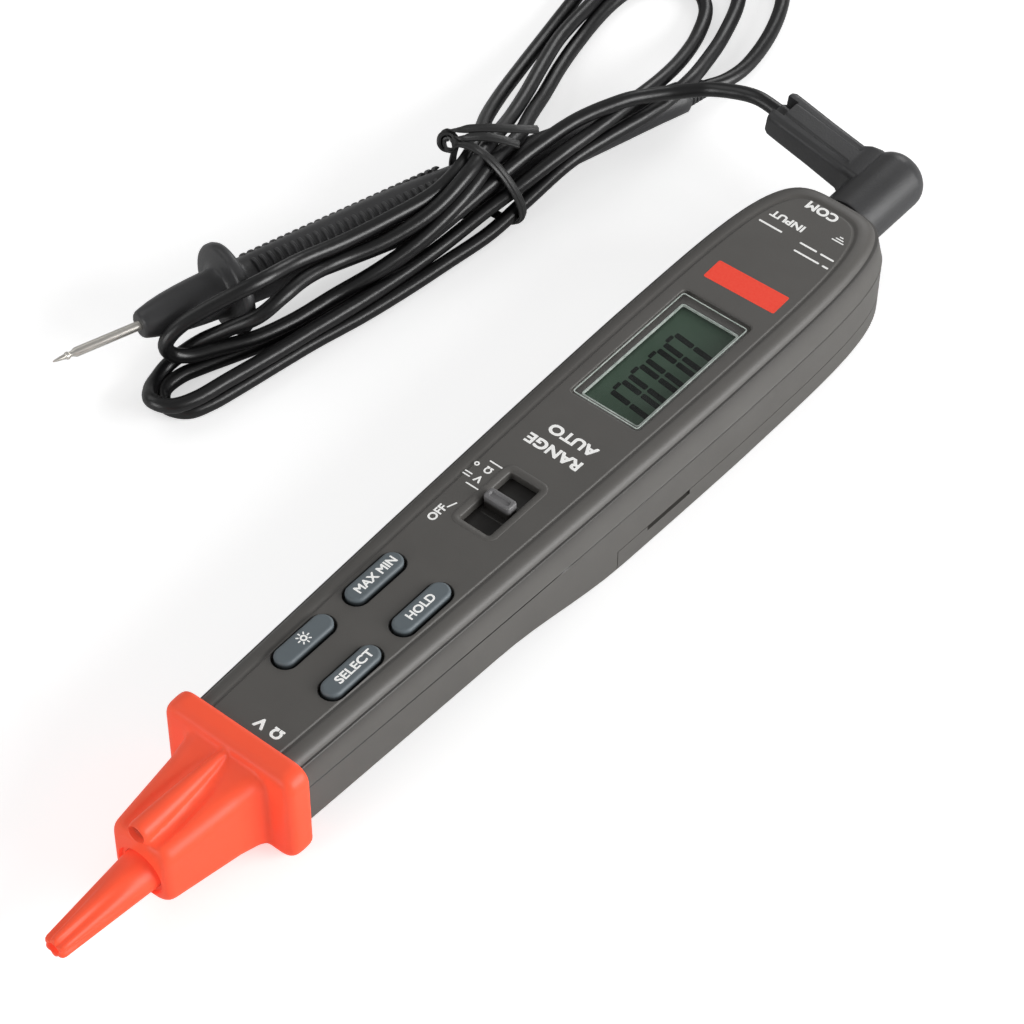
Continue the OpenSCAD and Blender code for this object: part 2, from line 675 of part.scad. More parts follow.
module selector_knob() color([0.2, 0.2, 0.2]) translate([slot_x, 0, 0]) {
    block(-carrier_half, carrier_half, -carrier_half_w, carrier_half_w, carrier_z,
        carrier_z + carrier_t);
    block(-slider_half, slider_half, -slot_w / 2 + slide_gap, slot_w / 2 - slide_gap,
        carrier_z, slider_z);
    block(-ridge_half, ridge_half, -slot_w / 2 + 0.7, slot_w / 2 - 0.7, carrier_z, ridge_top_z);
}
module selector_wiper() color([0.85, 0.7, 0.35]) translate([slot_x, 0, 0])
    for (y = [-2.4, 0, 2.4]) {
        block(-3, 3, y - 0.6, y + 0.6, carrier_z - 0.25, carrier_z);
        for (x = [-3, 2.7]) block(x, x + 0.3, y - 0.6, y + 0.6, board_top_z + 0.05, carrier_z);
    }

// One cell, its positive end towards +X
module cell(x0) {
    turned_x([[0, x0], [cell_d / 2 - 0.6, x0], [cell_d / 2, x0 + 0.6],
        [cell_d / 2, x0 + cell_l - 1.6], [cell_d / 2 - 0.6, x0 + cell_l - 1],
        [2.7, x0 + cell_l - 1], [2.7, x0 + cell_l], [0, x0 + cell_l]], cell_z);
}
cell_x0 = bay_x0 + plate_t + spring_room;
module cell_a() color([0.15, 0.3, 0.6]) translate([0, cell_y, 0]) cell(cell_x0);
module cell_b() color([0.15, 0.3, 0.6]) translate([bay_x0 + bay_x1, -cell_y, 0])
    mirror([1, 0, 0]) cell(cell_x0);
module cell_springs() color(metal_colour) {
    start = bay_x0 + plate_t + wire_r + 0.05;
    end = cell_x0 - wire_r - 0.05;
    tube(coil_path(start, end, 3.4, 2, 3, cell_y, cell_z), wire_r, 6, [1, 0, 0]);
    tube([for (p = coil_path(start, end, 3.4, 2, 3, cell_y, cell_z))
        [bay_x0 + bay_x1 - p[0], -p[1], p[2]]], wire_r, 6, [1, 0, 0]);
}
module cell_plates() color(metal_colour)
    for (x = [bay_x0 + 0.02, bay_x1 - plate_t + 0.02], side = [-1, 1]) translate([x, 0, 0])
        block(0, plate_t - 0.04, side * cell_y - 4.4, side * cell_y + 4.4, cell_z - 4,
            cell_z + 4.2);

module com_socket() color([0.08, 0.08, 0.08])
    turned_x([[contact_r + 0.02, socket_x0], [socket_r, socket_x0], [socket_r, socket_x1],
        [shroud_r + shroud_gap, socket_x1], [shroud_r + shroud_gap, socket_x0 + 3],
        [contact_r + 0.02, socket_x0 + 3]], socket_z);
module com_contact() color(metal_colour) {
    turned_x([[0, socket_x0 - 1.2], [contact_r, socket_x0 - 1.2], [contact_r, socket_x1 - 3],
        [pin_r + pin_gap, socket_x1 - 3], [pin_r + pin_gap, socket_x0 + 0.8],
        [0, socket_x0 + 0.8]], socket_z);
    block(board_x1 - 1, socket_x0 - 1, -1.5, 1.5, board_z - 0.5, board_z);
    block(socket_x0 - 1.6, socket_x0 - 1, -1.5, 1.5, socket_z - 1, board_z);
}
module buzzer() color([0.12, 0.12, 0.12]) translate([-4, 0, board_z - 5.4]) difference() {
    cylinder(h = 5.4, r = 6);
    translate([0, 0, -1]) cylinder(h = 2, r = 1);
}
module meter_chip() color([0.1, 0.1, 0.11]) translate([24.4, 0, 0])
    block(-4, 4, -4, 4, board_top_z, board_top_z + 1.2);
module crystal_can() color(metal_colour) translate([-8.5, -8.6, board_top_z])
    block(-3.5, 3.5, -0.9, 0.9, 0, 1.8);
module board_parts() color([0.6, 0.5, 0.35]) for (i = [0:4])
    translate([-9 + 4.2 * i, 8.4, board_top_z]) block(-1.3, 1.3, -0.8, 0.8, 0, 0.7);

module plug_body() color(cable_colour) {
    difference() {
        union() {
            rod_x(elbow_x0, elbow_x0 + elbow_l - 1.5, elbow_r, 0, socket_z);
            turned_x([[0, elbow_x0 + elbow_l - 2], [elbow_r, elbow_x0 + elbow_l - 2],
                [elbow_r, elbow_x0 + elbow_l - 1.5], [elbow_r - 1.5, elbow_x0 + elbow_l],
                [0, elbow_x0 + elbow_l]], socket_z);
            rod_x(socket_x0 + 4, elbow_x0 + 1, shroud_r, 0, socket_z);
            translate([boot_x, 0, socket_z]) rotate([boot_tilt, 0, 0]) rotate([-90, 0, 0])
                linear_extrude(norm([boot_l, boot_rise])) {
                    square([boot_w, boot_h - 3], center = true);
                    square([boot_w - 3, boot_h], center = true);
                    for (x = [-1, 1], y = [-1, 1])
                        translate([x * (boot_w / 2 - 1.5), y * (boot_h / 2 - 1.5)]) circle(1.5);
                }
        }
        rod_x(socket_x0 + 3, elbow_x0 - 0.5, contact_r + 0.3, 0, socket_z);
        rod_x(elbow_x0 - 1, elbow_x0 + 8, pin_r + 0.02, 0, socket_z);
    }
}
module plug_pin() color(metal_colour)
    turned_x([[0, socket_x0 + 1.2], [pin_r - 0.8, socket_x0 + 1.2], [pin_r, socket_x0 + 2.4],
        [pin_r, elbow_x0 + 7.9], [0, elbow_x0 + 7.9]], socket_z);

module lead_cable() color(cable_colour)
    tube(smooth(lead_route, 2), cable_d / 2, 8, [0, 0, 1]);
module lead_hank() color(cable_colour) difference() {
    linear_extrude(hank_h) polygon(hank_outline);
    difference() {
        block(tie_x - tie_w / 2 - tie_gap, tie_x + tie_w / 2 + tie_gap, 0, far, -1, far);
        block(0, far, tie_y0 + tie_t + tie_gap, tie_y1 - tie_t - tie_gap,
            tie_z0 + tie_t + tie_gap, tie_z1 - tie_t - tie_gap);
    }
    along_probe() rotate_extrude() polygon(probe_profile(probe_gap, relief_l + 1));
}
module cable_tie() color(cable_colour) difference() {
    block(tie_x - tie_w / 2, tie_x + tie_w / 2, tie_y0, tie_y1, tie_z0, tie_z1);
    block(0, far, tie_y0 + tie_t, tie_y1 - tie_t, tie_z0 + tie_t, tie_z1 - tie_t);
}

module probe_handle() color(cable_colour) along_probe() difference() {
    rotate_extrude() polygon(probe_profile(0, 0));
    translate([0, 0, -1]) cylinder(h = probe_needle_in + 1.02, r = probe_root_r + 0.02);
}
module probe_needle() color(metal_colour) along_probe() rotate_extrude()
    polygon([[0, -probe_needle_out], [0.2, -probe_needle_out],
        [probe_needle_r, 2.5 - probe_needle_out], [probe_needle_r, 0],
        [probe_root_r, 0], [probe_root_r, probe_needle_in], [0, probe_needle_in]]);
module probe_relief() color(cable_colour) along_probe() translate([0, 0, probe_l])
    cylinder(h = relief_l, r1 = tail_r - 0.7, r2 = cable_d / 2 + 0.4);

upper_shell();
lower_shell();
battery_cover();
cover_screw();
case_screws();
nose_guard();
tip_sleeve();
sleeve_spring();
meter_needle();
needle_holder();
tip_contact();
torch_lamp();
display_lens();
display_glass();
display_holder();
contact_strips();
circuit_board();
board_screws();
key_light();
key_select();
key_max_min();
key_hold();
key_switches();
selector_knob();
selector_wiper();
cell_a();
cell_b();
cell_springs();
cell_plates();
com_socket();
com_contact();
buzzer();
meter_chip();
crystal_can();
board_parts();
plug_body();
plug_pin();
lead_cable();
lead_hank();
cable_tie();
probe_handle();
probe_needle();
probe_relief();
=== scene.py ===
"""Pen multimeter with its tied test lead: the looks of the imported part."""

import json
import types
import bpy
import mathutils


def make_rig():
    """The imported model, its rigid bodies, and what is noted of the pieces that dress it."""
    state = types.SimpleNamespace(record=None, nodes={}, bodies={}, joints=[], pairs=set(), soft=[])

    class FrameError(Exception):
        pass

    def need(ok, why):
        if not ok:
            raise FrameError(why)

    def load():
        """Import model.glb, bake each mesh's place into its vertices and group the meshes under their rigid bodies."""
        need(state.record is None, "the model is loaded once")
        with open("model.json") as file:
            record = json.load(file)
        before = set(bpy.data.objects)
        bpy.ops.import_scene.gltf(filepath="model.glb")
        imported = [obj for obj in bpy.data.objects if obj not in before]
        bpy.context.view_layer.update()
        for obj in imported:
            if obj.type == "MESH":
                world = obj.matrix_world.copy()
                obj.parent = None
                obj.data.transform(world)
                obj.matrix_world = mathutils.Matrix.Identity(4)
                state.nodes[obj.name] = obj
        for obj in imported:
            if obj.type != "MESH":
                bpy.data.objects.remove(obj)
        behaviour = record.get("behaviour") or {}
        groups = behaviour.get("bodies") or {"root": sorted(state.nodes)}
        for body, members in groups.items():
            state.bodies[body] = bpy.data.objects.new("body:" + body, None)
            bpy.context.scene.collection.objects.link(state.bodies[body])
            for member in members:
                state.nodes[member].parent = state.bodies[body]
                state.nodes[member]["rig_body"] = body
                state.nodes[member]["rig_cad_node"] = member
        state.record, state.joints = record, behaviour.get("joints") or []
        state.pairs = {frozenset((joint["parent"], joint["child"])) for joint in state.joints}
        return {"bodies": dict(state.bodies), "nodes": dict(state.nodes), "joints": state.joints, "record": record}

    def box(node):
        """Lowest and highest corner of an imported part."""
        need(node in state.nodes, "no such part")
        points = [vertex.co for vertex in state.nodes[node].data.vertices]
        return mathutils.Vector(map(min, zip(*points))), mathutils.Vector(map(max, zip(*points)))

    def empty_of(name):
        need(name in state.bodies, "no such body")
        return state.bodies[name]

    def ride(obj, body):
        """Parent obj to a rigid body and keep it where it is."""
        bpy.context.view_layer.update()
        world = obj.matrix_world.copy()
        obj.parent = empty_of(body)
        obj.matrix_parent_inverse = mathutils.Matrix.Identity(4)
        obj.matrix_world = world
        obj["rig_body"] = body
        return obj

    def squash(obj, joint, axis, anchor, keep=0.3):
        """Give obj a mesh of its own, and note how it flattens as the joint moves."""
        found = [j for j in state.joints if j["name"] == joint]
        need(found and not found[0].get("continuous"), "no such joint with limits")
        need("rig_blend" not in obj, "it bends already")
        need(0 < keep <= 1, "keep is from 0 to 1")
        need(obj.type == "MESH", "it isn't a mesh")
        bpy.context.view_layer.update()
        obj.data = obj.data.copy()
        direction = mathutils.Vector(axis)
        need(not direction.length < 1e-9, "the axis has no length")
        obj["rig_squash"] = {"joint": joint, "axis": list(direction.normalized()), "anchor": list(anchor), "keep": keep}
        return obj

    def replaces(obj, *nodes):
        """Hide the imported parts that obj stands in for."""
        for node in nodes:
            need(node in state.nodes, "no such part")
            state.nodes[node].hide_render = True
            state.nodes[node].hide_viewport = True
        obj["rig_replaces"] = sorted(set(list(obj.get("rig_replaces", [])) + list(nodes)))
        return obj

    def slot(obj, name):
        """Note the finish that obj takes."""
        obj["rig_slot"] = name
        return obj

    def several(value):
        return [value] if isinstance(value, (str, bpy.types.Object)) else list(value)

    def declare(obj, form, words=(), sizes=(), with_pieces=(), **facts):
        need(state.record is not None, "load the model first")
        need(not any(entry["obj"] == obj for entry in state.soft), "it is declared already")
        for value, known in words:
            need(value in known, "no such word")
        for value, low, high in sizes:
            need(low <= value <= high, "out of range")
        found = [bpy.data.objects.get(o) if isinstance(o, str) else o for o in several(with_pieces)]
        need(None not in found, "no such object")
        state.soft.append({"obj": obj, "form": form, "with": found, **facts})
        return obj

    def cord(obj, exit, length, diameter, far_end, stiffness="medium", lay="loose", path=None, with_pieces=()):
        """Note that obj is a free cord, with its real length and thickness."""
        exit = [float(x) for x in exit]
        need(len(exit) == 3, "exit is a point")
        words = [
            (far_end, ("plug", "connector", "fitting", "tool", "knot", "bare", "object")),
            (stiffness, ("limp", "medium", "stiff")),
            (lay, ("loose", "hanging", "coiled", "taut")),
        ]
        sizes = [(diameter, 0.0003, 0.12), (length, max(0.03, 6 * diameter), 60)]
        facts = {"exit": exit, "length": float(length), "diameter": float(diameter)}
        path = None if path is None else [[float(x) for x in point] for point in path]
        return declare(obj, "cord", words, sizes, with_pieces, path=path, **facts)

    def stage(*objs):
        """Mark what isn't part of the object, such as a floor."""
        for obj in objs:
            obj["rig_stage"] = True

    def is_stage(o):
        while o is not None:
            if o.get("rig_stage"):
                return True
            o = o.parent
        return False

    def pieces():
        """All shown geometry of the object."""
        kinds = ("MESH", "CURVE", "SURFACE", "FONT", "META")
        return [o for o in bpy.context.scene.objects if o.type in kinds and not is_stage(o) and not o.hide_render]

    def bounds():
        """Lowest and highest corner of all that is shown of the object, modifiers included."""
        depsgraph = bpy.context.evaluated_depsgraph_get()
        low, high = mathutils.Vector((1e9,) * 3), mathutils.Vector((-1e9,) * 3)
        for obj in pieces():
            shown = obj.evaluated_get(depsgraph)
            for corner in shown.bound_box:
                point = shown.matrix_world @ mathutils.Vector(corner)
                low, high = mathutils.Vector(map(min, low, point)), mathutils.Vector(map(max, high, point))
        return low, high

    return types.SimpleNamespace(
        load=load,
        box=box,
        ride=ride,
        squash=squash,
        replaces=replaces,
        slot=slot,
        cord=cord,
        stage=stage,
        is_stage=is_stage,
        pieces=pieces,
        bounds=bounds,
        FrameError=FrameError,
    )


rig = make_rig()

bl_info = {
    "name": "Pen Multimeter",
    "version": (1, 0, 0),
    "blender": (4, 5, 0),
    "location": "View3D > Sidebar > Pen Meter",
    "description": "Builds a pen multimeter and its tied test lead around the packed frame",
    "category": "Add Mesh",
}

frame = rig.load()

import json
import math

import bmesh
import bpy
from bpy.props import FloatProperty, FloatVectorProperty, IntProperty, PointerProperty
from mathutils import Matrix, Vector

MM = 0.001
BOX_FILE = "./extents.json"
CAD_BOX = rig.bounds()


def span(node):
    """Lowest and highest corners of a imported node, in millimetres."""
    low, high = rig.box(node)
    return low / MM, high / MM


def middle(node):
    """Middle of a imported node's box, in millimetres."""
    low, high = span(node)
    return (low + high) / 2


def srgb(red, green, blue):
    """A colour as it looks, from 0 to 255, in the linear values that shaders take."""
    return tuple(((c / 255 + 0.055) / 1.055) ** 2.4 for c in (red, green, blue))


# Heights and places of the body, read from the frame
SEAM_Z = span("upper_shell")[0].z
DECK_Z = span("upper_shell")[1].z
TAIL_X = span("upper_shell")[1].x
NECK_X = span("upper_shell")[0].x
BODY_HALF = span("upper_shell")[1].y
COVER_LOW, COVER_HIGH = span("battery_cover")
SOCKET_Z = middle("com_socket").z
TIP_Z = middle("meter_needle").z
NOSE_X0 = span("nose_guard")[0].x
LAMP_Z = span("torch_lamp")[1].z - 1.6
FLANGE_L = 5
FLANGE_X0 = NECK_X - FLANGE_L
NOSE_L = FLANGE_X0 - NOSE_X0

# The outline of the body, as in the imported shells
NECK_HALF = 12.1
NECK_Z = 4.0
WIDEST_X = 55
TAPER_POWER = 1.3
TAIL_POWER = 4.3
SIDE_STEPS = 24
TAIL_STEPS = 40
WALL_IN = 1.6
WALL_RISE = 5.15

# Openings: half length and half width, or radius
ROOF_Z = DECK_Z - 1.8
WELL_HALF = (7.0, 2.5)
SLOT_HALF = (6.8, 3.3)
SLOT_LIP_HALF = (8.3, 4.8)
SLOT_LIP = 0.12
WINDOW_HALF = (14.5, 6.5)
RECESS_HALF = (16.3, 7.65)
RECESS_SHIFT = 0.3
SOCKET_HOLE = 5.55
SCREW_HOLE = 2.05
SCREW_PLACE = (-49.5, 8.1)

X_AXIS = (1, 0, 0)
Z_AXIS = (0, 0, 1)


COLOUR = {"subtype": "COLOR", "size": 3, "min": 0, "max": 1}


class MeterSizes(bpy.types.PropertyGroup):
    """Sizes of the details that the frame leaves open"""

    seam: FloatProperty(
        name="Seam", description="Depth of the groove between the two shells",
        default=0.40 * MM, unit="LENGTH")
    well_round: FloatProperty(
        name="Well rim", description="Rounding of the rims of the key wells",
        default=0.22 * MM, unit="LENGTH")
    slot_round: FloatProperty(
        name="Slot rim", description="Rounding of the rim of the selector slot",
        default=1.1 * MM, unit="LENGTH")
    key_round: FloatProperty(
        name="Key edge", description="Rounding of the top edge of a key",
        default=0.55 * MM, unit="LENGTH")
    ink: FloatProperty(
        name="Ink", description="Thickness of the printed marks",
        default=0.02 * MM, unit="LENGTH")
    flutes: IntProperty(
        name="Flutes", description="Number of flutes round the tip sleeve",
        default=6, min=3, max=12)
    flute_depth: FloatProperty(
        name="Flute depth", description="Depth of the flutes at the end of the tip sleeve",
        default=0.6 * MM, unit="LENGTH")
    cable: FloatProperty(
        name="Cable", description="Diameter of the test lead",
        default=2.9 * MM, unit="LENGTH")
    grip_ribs: IntProperty(
        name="Grip ribs", description="Number of ribs in each row on the probe's grip",
        default=27, min=3, max=60)
    spring_turns: IntProperty(
        name="Spring turns", description="Turns of the tip sleeve's spring",
        default=6, min=2, max=12)


class MeterColours(bpy.types.PropertyGroup):
    """Colours of the finishes"""

    case: FloatVectorProperty(
        name="Case", description="Dark warm grey of the shells",
        default=srgb(94, 92, 89), **COLOUR)
    red: FloatVectorProperty(
        name="Nose", description="Orange red of the nose and the sleeve",
        default=srgb(250, 85, 50), **COLOUR)
    key: FloatVectorProperty(
        name="Keys", description="Bluish grey of the keys",
        default=srgb(104, 113, 118), **COLOUR)
    knob: FloatVectorProperty(
        name="Selector", description="Dark grey of the selector",
        default=srgb(122, 121, 122), **COLOUR)
    panel: FloatVectorProperty(
        name="Display", description="Green grey of the display",
        default=srgb(62, 84, 68), **COLOUR)
    ink: FloatVectorProperty(
        name="Print", description="White of the printed marks",
        default=srgb(252, 252, 250), **COLOUR)
    cable: FloatVectorProperty(
        name="Cable", description="Glossy black of the test lead",
        default=srgb(13, 13, 14), **COLOUR)
    plug: FloatVectorProperty(
        name="Plug", description="Matte black of the plug and the probe",
        default=srgb(62, 62, 63), **COLOUR)
    board: FloatVectorProperty(
        name="Board", description="Green of the circuit board",
        default=srgb(28, 96, 58), **COLOUR)
    cell: FloatVectorProperty(
        name="Cells", description="Wrap of the two cells",
        default=srgb(46, 74, 140), **COLOUR)


class MeterStage(bpy.types.PropertyGroup):
    """Camera and light"""

    place: FloatVectorProperty(
        name="Camera place", description="Where the camera stands",
        subtype="TRANSLATION", unit="LENGTH", size=3, default=(-0.33898, -0.29462, 0.52958))
    azimuth: FloatProperty(
        name="Azimuth", description="Heading of the camera's view, from +X towards +Y",
        unit="ROTATION", default=math.radians(40.236))
    pitch: FloatProperty(
        name="Pitch", description="How far the camera looks down",
        unit="ROTATION", default=math.radians(48.449))
    roll: FloatProperty(
        name="Roll", description="Turn of the camera round its own view",
        unit="ROTATION", default=math.radians(-0.363))
    lens: FloatProperty(
        name="Lens", description="Focal length in millimetres on a 36 mm frame",
        default=140.89)
    key_power: FloatProperty(
        name="Key light", description="Power of the softbox at the far left", default=1.6)
    side_power: FloatProperty(
        name="Side light", description="Power of the softbox at the near right", default=13.0)
    tail_power: FloatProperty(
        name="Tail light", description="Power of the softbox beyond the tail", default=2.6)
    front_power: FloatProperty(
        name="Front light", description="Power of the softbox before the nose", default=2.6)
    world: FloatProperty(
        name="World", description="Light from all around", default=0.2)
    gloss: FloatProperty(
        name="Gloss", description="How bright the surroundings are in gloss", default=0.24)
    floor: FloatProperty(
        name="Floor", description="Light that the floor adds where the camera sees it",
        default=0.58)


def maths(operation, swapped=False):
    """A method for arithmetic on wires, which adds one Math node."""
    def method(self, other):
        first, second = (other, self) if swapped else (self, other)
        return self.tree.node("ShaderNodeMath", {"operation": operation},
                              {0: first, 1: second})[0]
    return method


class Wire:
    """One output of a node. Arithmetic on it adds Math nodes to its tree."""

    def __init__(self, tree, socket):
        self.tree = tree
        self.socket = socket

    __add__ = maths("ADD")
    __radd__ = maths("ADD", True)
    __sub__ = maths("SUBTRACT")
    __rsub__ = maths("SUBTRACT", True)
    __mul__ = maths("MULTIPLY")
    __rmul__ = maths("MULTIPLY", True)
    __truediv__ = maths("DIVIDE")
    __rtruediv__ = maths("DIVIDE", True)
    __gt__ = maths("GREATER_THAN")
    __lt__ = maths("LESS_THAN")


class Tree:
    """Builds a node tree, one node at a time."""

    def __init__(self, tree):
        self.tree = tree

    def node(self, kind, settings=None, sockets=None):
        """Adds a node, sets it, then fills its sockets. Returns its outputs as wires."""
        made = self.tree.nodes.new(kind)
        for name, value in (settings or {}).items():
            setattr(made, name, value)
        for name, value in (sockets or {}).items():
            if isinstance(value, Wire):
                self.tree.links.new(value.socket, made.inputs[name])
            else:
                made.inputs[name].default_value = value
        return [Wire(self, socket) for socket in made.outputs if socket.enabled]


class Finish(Tree):
    """A material in the making. Places on the piece are in millimetres."""

    def __init__(self, name):
        self.material = bpy.data.materials.new(name)
        self.material.use_nodes = True
        super().__init__(self.material.node_tree)
        self.tree.nodes.clear()
        on_piece = self.node("ShaderNodeTexCoord")[3]
        settings = {"operation": "SCALE"}
        self.place = self.node("ShaderNodeVectorMath", settings, {0: on_piece, 3: 1 / MM})[0]

    def stretched(self, x, y, z):
        """Places that are stretched along the axes."""
        settings = {"operation": "MULTIPLY"}
        return self.node("ShaderNodeVectorMath", settings, {0: self.place, 1: (x, y, z)})[0]

    def axes(self):
        """X, Y and Z of a place as three wires."""
        return self.node("ShaderNodeSeparateXYZ", None, {0: self.place})

    def noise(self, scale, detail=2.0, place=None):
        """Soft noise from 0 to 1."""
        sockets = {"Vector": place or self.place, "Scale": scale, "Detail": detail}
        return self.node("ShaderNodeTexNoise", None, sockets)[0]

    def mix(self, share, first, second):
        """A colour between two others."""
        pair = [c if isinstance(c, Wire) else (*c, 1) for c in (first, second)]
        sockets = {0: share, 6: pair[0], 7: pair[1]}
        return self.node("ShaderNodeMix", {"data_type": "RGBA"}, sockets)[0]

    def spread(self, value, low=0.3, high=0.7):
        """The value with low at 0 and high at 1."""
        sockets = {"Value": value, "From Min": low, "From Max": high}
        return self.node("ShaderNodeMapRange", None, sockets)[0]

    def bump(self, height, depth):
        """A normal from a height, whose full range is depth millimetres."""
        return self.node("ShaderNodeBump", None, {"Height": height, "Distance": depth * MM})[0]

    def surface(self, sockets):
        """Ends the material in one shader."""
        shader = self.node("ShaderNodeBsdfPrincipled", None, sockets)[0]
        self.node("ShaderNodeOutputMaterial", None, {"Surface": shader})
        return self.material


def tinted(seen, factor):
    """A colour made lighter or darker."""
    return tuple(min(1.0, c * factor) for c in seen)


def chosen(seen):
    """A colour of the user's, by its name, or one given as it looks."""
    if isinstance(seen, str):
        return getattr(bpy.context.scene.penmeter_colours, seen)
    return srgb(*seen)


def moulded(name, seen, roughness, grain, depth, mottle, dark=None, sockets=None):
    """Moulded plastic: fine grain in the surface and cloudy shifts in its colour."""
    plain = chosen(seen)
    light = tinted(plain, 1 + mottle)
    finish = Finish(name)
    cloud = finish.spread(finish.noise(0.12, 3.0))
    fine = finish.noise(grain)
    base = finish.mix(cloud, tinted(plain, 1 - mottle), light)
    speck = finish.spread(finish.noise(grain * 0.6, 1.0), 0.35, 0.65)
    base = finish.mix(speck * 0.5, base, finish.mix(cloud, plain, light))
    if dark:
        base = finish.mix(dark(finish), base, tinted(plain, 0.2))
    rest = {"Base Color": base, "Roughness": roughness - 0.06 + fine * 0.12,
            "Normal": finish.bump(fine, depth)}
    rest.update(sockets or {})
    return finish.surface(rest)


def metal(name, seen, roughness, streak):
    """Worked metal: fine streaks along X and a dull bloom."""
    plain = chosen(seen)
    finish = Finish(name)
    lines = finish.noise(3.0, 3.0, finish.stretched(streak, 1, 1))
    bloom = finish.spread(finish.noise(0.5))
    return finish.surface({
        "Base Color": finish.mix(bloom * 0.5, plain, tinted(plain, 0.82)), "Metallic": 1.0,
        "Roughness": roughness + lines * 0.12, "Normal": finish.bump(lines, 0.004)})


def step_shade(finish):
    """Shade that gathers under the bevel of the upper shell and in the seam."""
    height = finish.axes()[2]
    rise = finish.spread(height, DECK_Z - 5.2, DECK_Z - 1.9)
    seam = (height > SEAM_Z - 0.17) * (height < SEAM_Z + 0.17)
    return rise * rise * (height < DECK_Z - 1.7) * 0.52 + seam * 0.9


def bore_shade(finish):
    """Shade inside the mouth of the nose and inside the torch's hole."""
    x, y, z = finish.axes()
    up = z - TIP_Z
    over = z - LAMP_Z
    near = (y * y + up * up < 4.95 ** 2) + (y * y + over * over < 1.65 ** 2)
    deep = finish.spread(x, NOSE_X0 + 0.2, NOSE_X0 + 1.6) * (x < NOSE_X0 + 7)
    return deep * (near > 0.5) * 0.75


def well_shade(finish):
    """Shade on the part of a key that runs in its well."""
    return (1 - finish.spread(finish.axes()[2], DECK_Z, DECK_Z + 0.45)) * 0.95


def knob_plastic():
    """Dark plastic, near black where the knob runs inside its slot: the slide's own dark plastic with painted shade in
    the slot.
    """
    finish = Finish("knob_finish")
    plain = chosen("knob")
    cloud = finish.spread(finish.noise(0.5))
    fine = finish.noise(5.0)
    top = finish.mix(cloud, tinted(plain, 0.94), tinted(plain, 1.08))
    # Painted shade: darker below the face and a little way up the ridge, over the slide's own dark plastic.
    above = finish.spread(finish.axes()[2], DECK_Z - 0.4, DECK_Z + 0.5)
    return finish.surface({
        "Base Color": finish.mix(above, srgb(38, 36, 34), top),
        "Roughness": 0.36 + fine * 0.12, "Normal": finish.bump(fine, 0.012)})


def cable_black():
    """Glossy sheath with faint waves from winding."""
    finish = Finish("cable_finish")
    plain = chosen("cable")
    wave = finish.noise(0.35)
    fine = finish.noise(2.5)
    return finish.surface({
        "Base Color": finish.mix(finish.spread(wave), tinted(plain, 0.8), tinted(plain, 1.25)),
        "Roughness": 0.3 + fine * 0.12, "Normal": finish.bump(wave + fine * 0.15, 0.06),
        "Specular IOR Level": 0.7})


def clear_window():
    """Clear plastic: it shows what lies behind it and a thin gloss."""
    finish = Finish("window_finish")
    haze = finish.spread(finish.noise(0.2))
    return finish.surface({
        "Base Color": (0.9, 0.95, 0.92, 1), "Metallic": 1.0,
        "Roughness": 0.26 + haze * 0.08, "Alpha": 0.014 + haze * 0.014})


def window_edge():
    """Painted highlight of the clear window's edges: a pale colour with a faint glow."""
    finish = Finish("window_edge_finish")
    haze = finish.noise(0.6)
    base = finish.mix(finish.spread(haze), srgb(176, 188, 180), srgb(214, 222, 216))
    return finish.surface({
        "Base Color": base, "Roughness": 0.2 + haze * 0.1, "Coat Weight": 0.5,
        "Emission Color": base, "Emission Strength": 0.05})


def display_panel():
    """Reflective display: a cloudy green, with painted light that makes it lighter towards its far side."""
    finish = Finish("panel_finish")
    dim = tinted(chosen("panel"), 0.8)
    cloud = finish.spread(finish.noise(0.09), 0.35, 0.65)
    # Painted light: the display grows lighter towards +Y.
    lit = finish.spread(finish.axes()[1], -7.0, 7.0)
    base = finish.mix(lit, dim, tinted(chosen("panel"), 1.15))
    fine = finish.noise(8.0, 1.0)
    return finish.surface({
        "Base Color": finish.mix(cloud * 0.4, base, dim), "Roughness": 0.34 + fine * 0.08,
        "Specular IOR Level": 0.25})


def display_ink():
    """The dark strokes of the display."""
    finish = Finish("stroke_finish")
    fine = finish.noise(4.0, 1.0)
    return finish.surface({
        "Base Color": finish.mix(fine, srgb(4, 9, 7), srgb(10, 18, 14)),
        "Roughness": 0.5 + fine * 0.1, "Specular IOR Level": 0.08})


def printed(name, grain, thin, full, roughness, glow):
    """Printed ink with slightly uneven cover, and a painted glow that makes it brighter than its light."""
    finish = Finish(name)
    fine = finish.spread(finish.noise(grain))
    base = finish.mix(fine, thin, full)
    # The emission is a painted glow on the ink.
    return finish.surface({"Base Color": base, "Roughness": roughness + fine * 0.1,
                           "Emission Color": base, "Emission Strength": glow})


def white_ink():
    """The white printed marks."""
    plain = chosen("ink")
    return printed("ink_finish", 3.0, tinted(plain, 0.88), plain, 0.5, 0.22)


def red_ink():
    """The red printed field."""
    return printed("red_ink_finish", 2.0, srgb(244, 66, 46), srgb(254, 78, 56), 0.42, 0.18)


def board_laminate():
    """Circuit board: solder mask over copper tracks."""
    finish = Finish("board_finish")
    plain = chosen("board")
    bricks = finish.node("ShaderNodeTexBrick", {"offset": 0.5}, {
        "Vector": finish.stretched(1, 1, 0), "Scale": 0.9, "Mortar Size": 0.035})[1]
    tracks = bricks * (finish.noise(0.25, 3.0) > 0.52)
    return finish.surface({
        "Base Color": finish.mix(tracks, plain, tinted(plain, 1.7)),
        "Roughness": 0.3 + bricks * 0.1, "Normal": finish.bump(tracks, 0.03)})


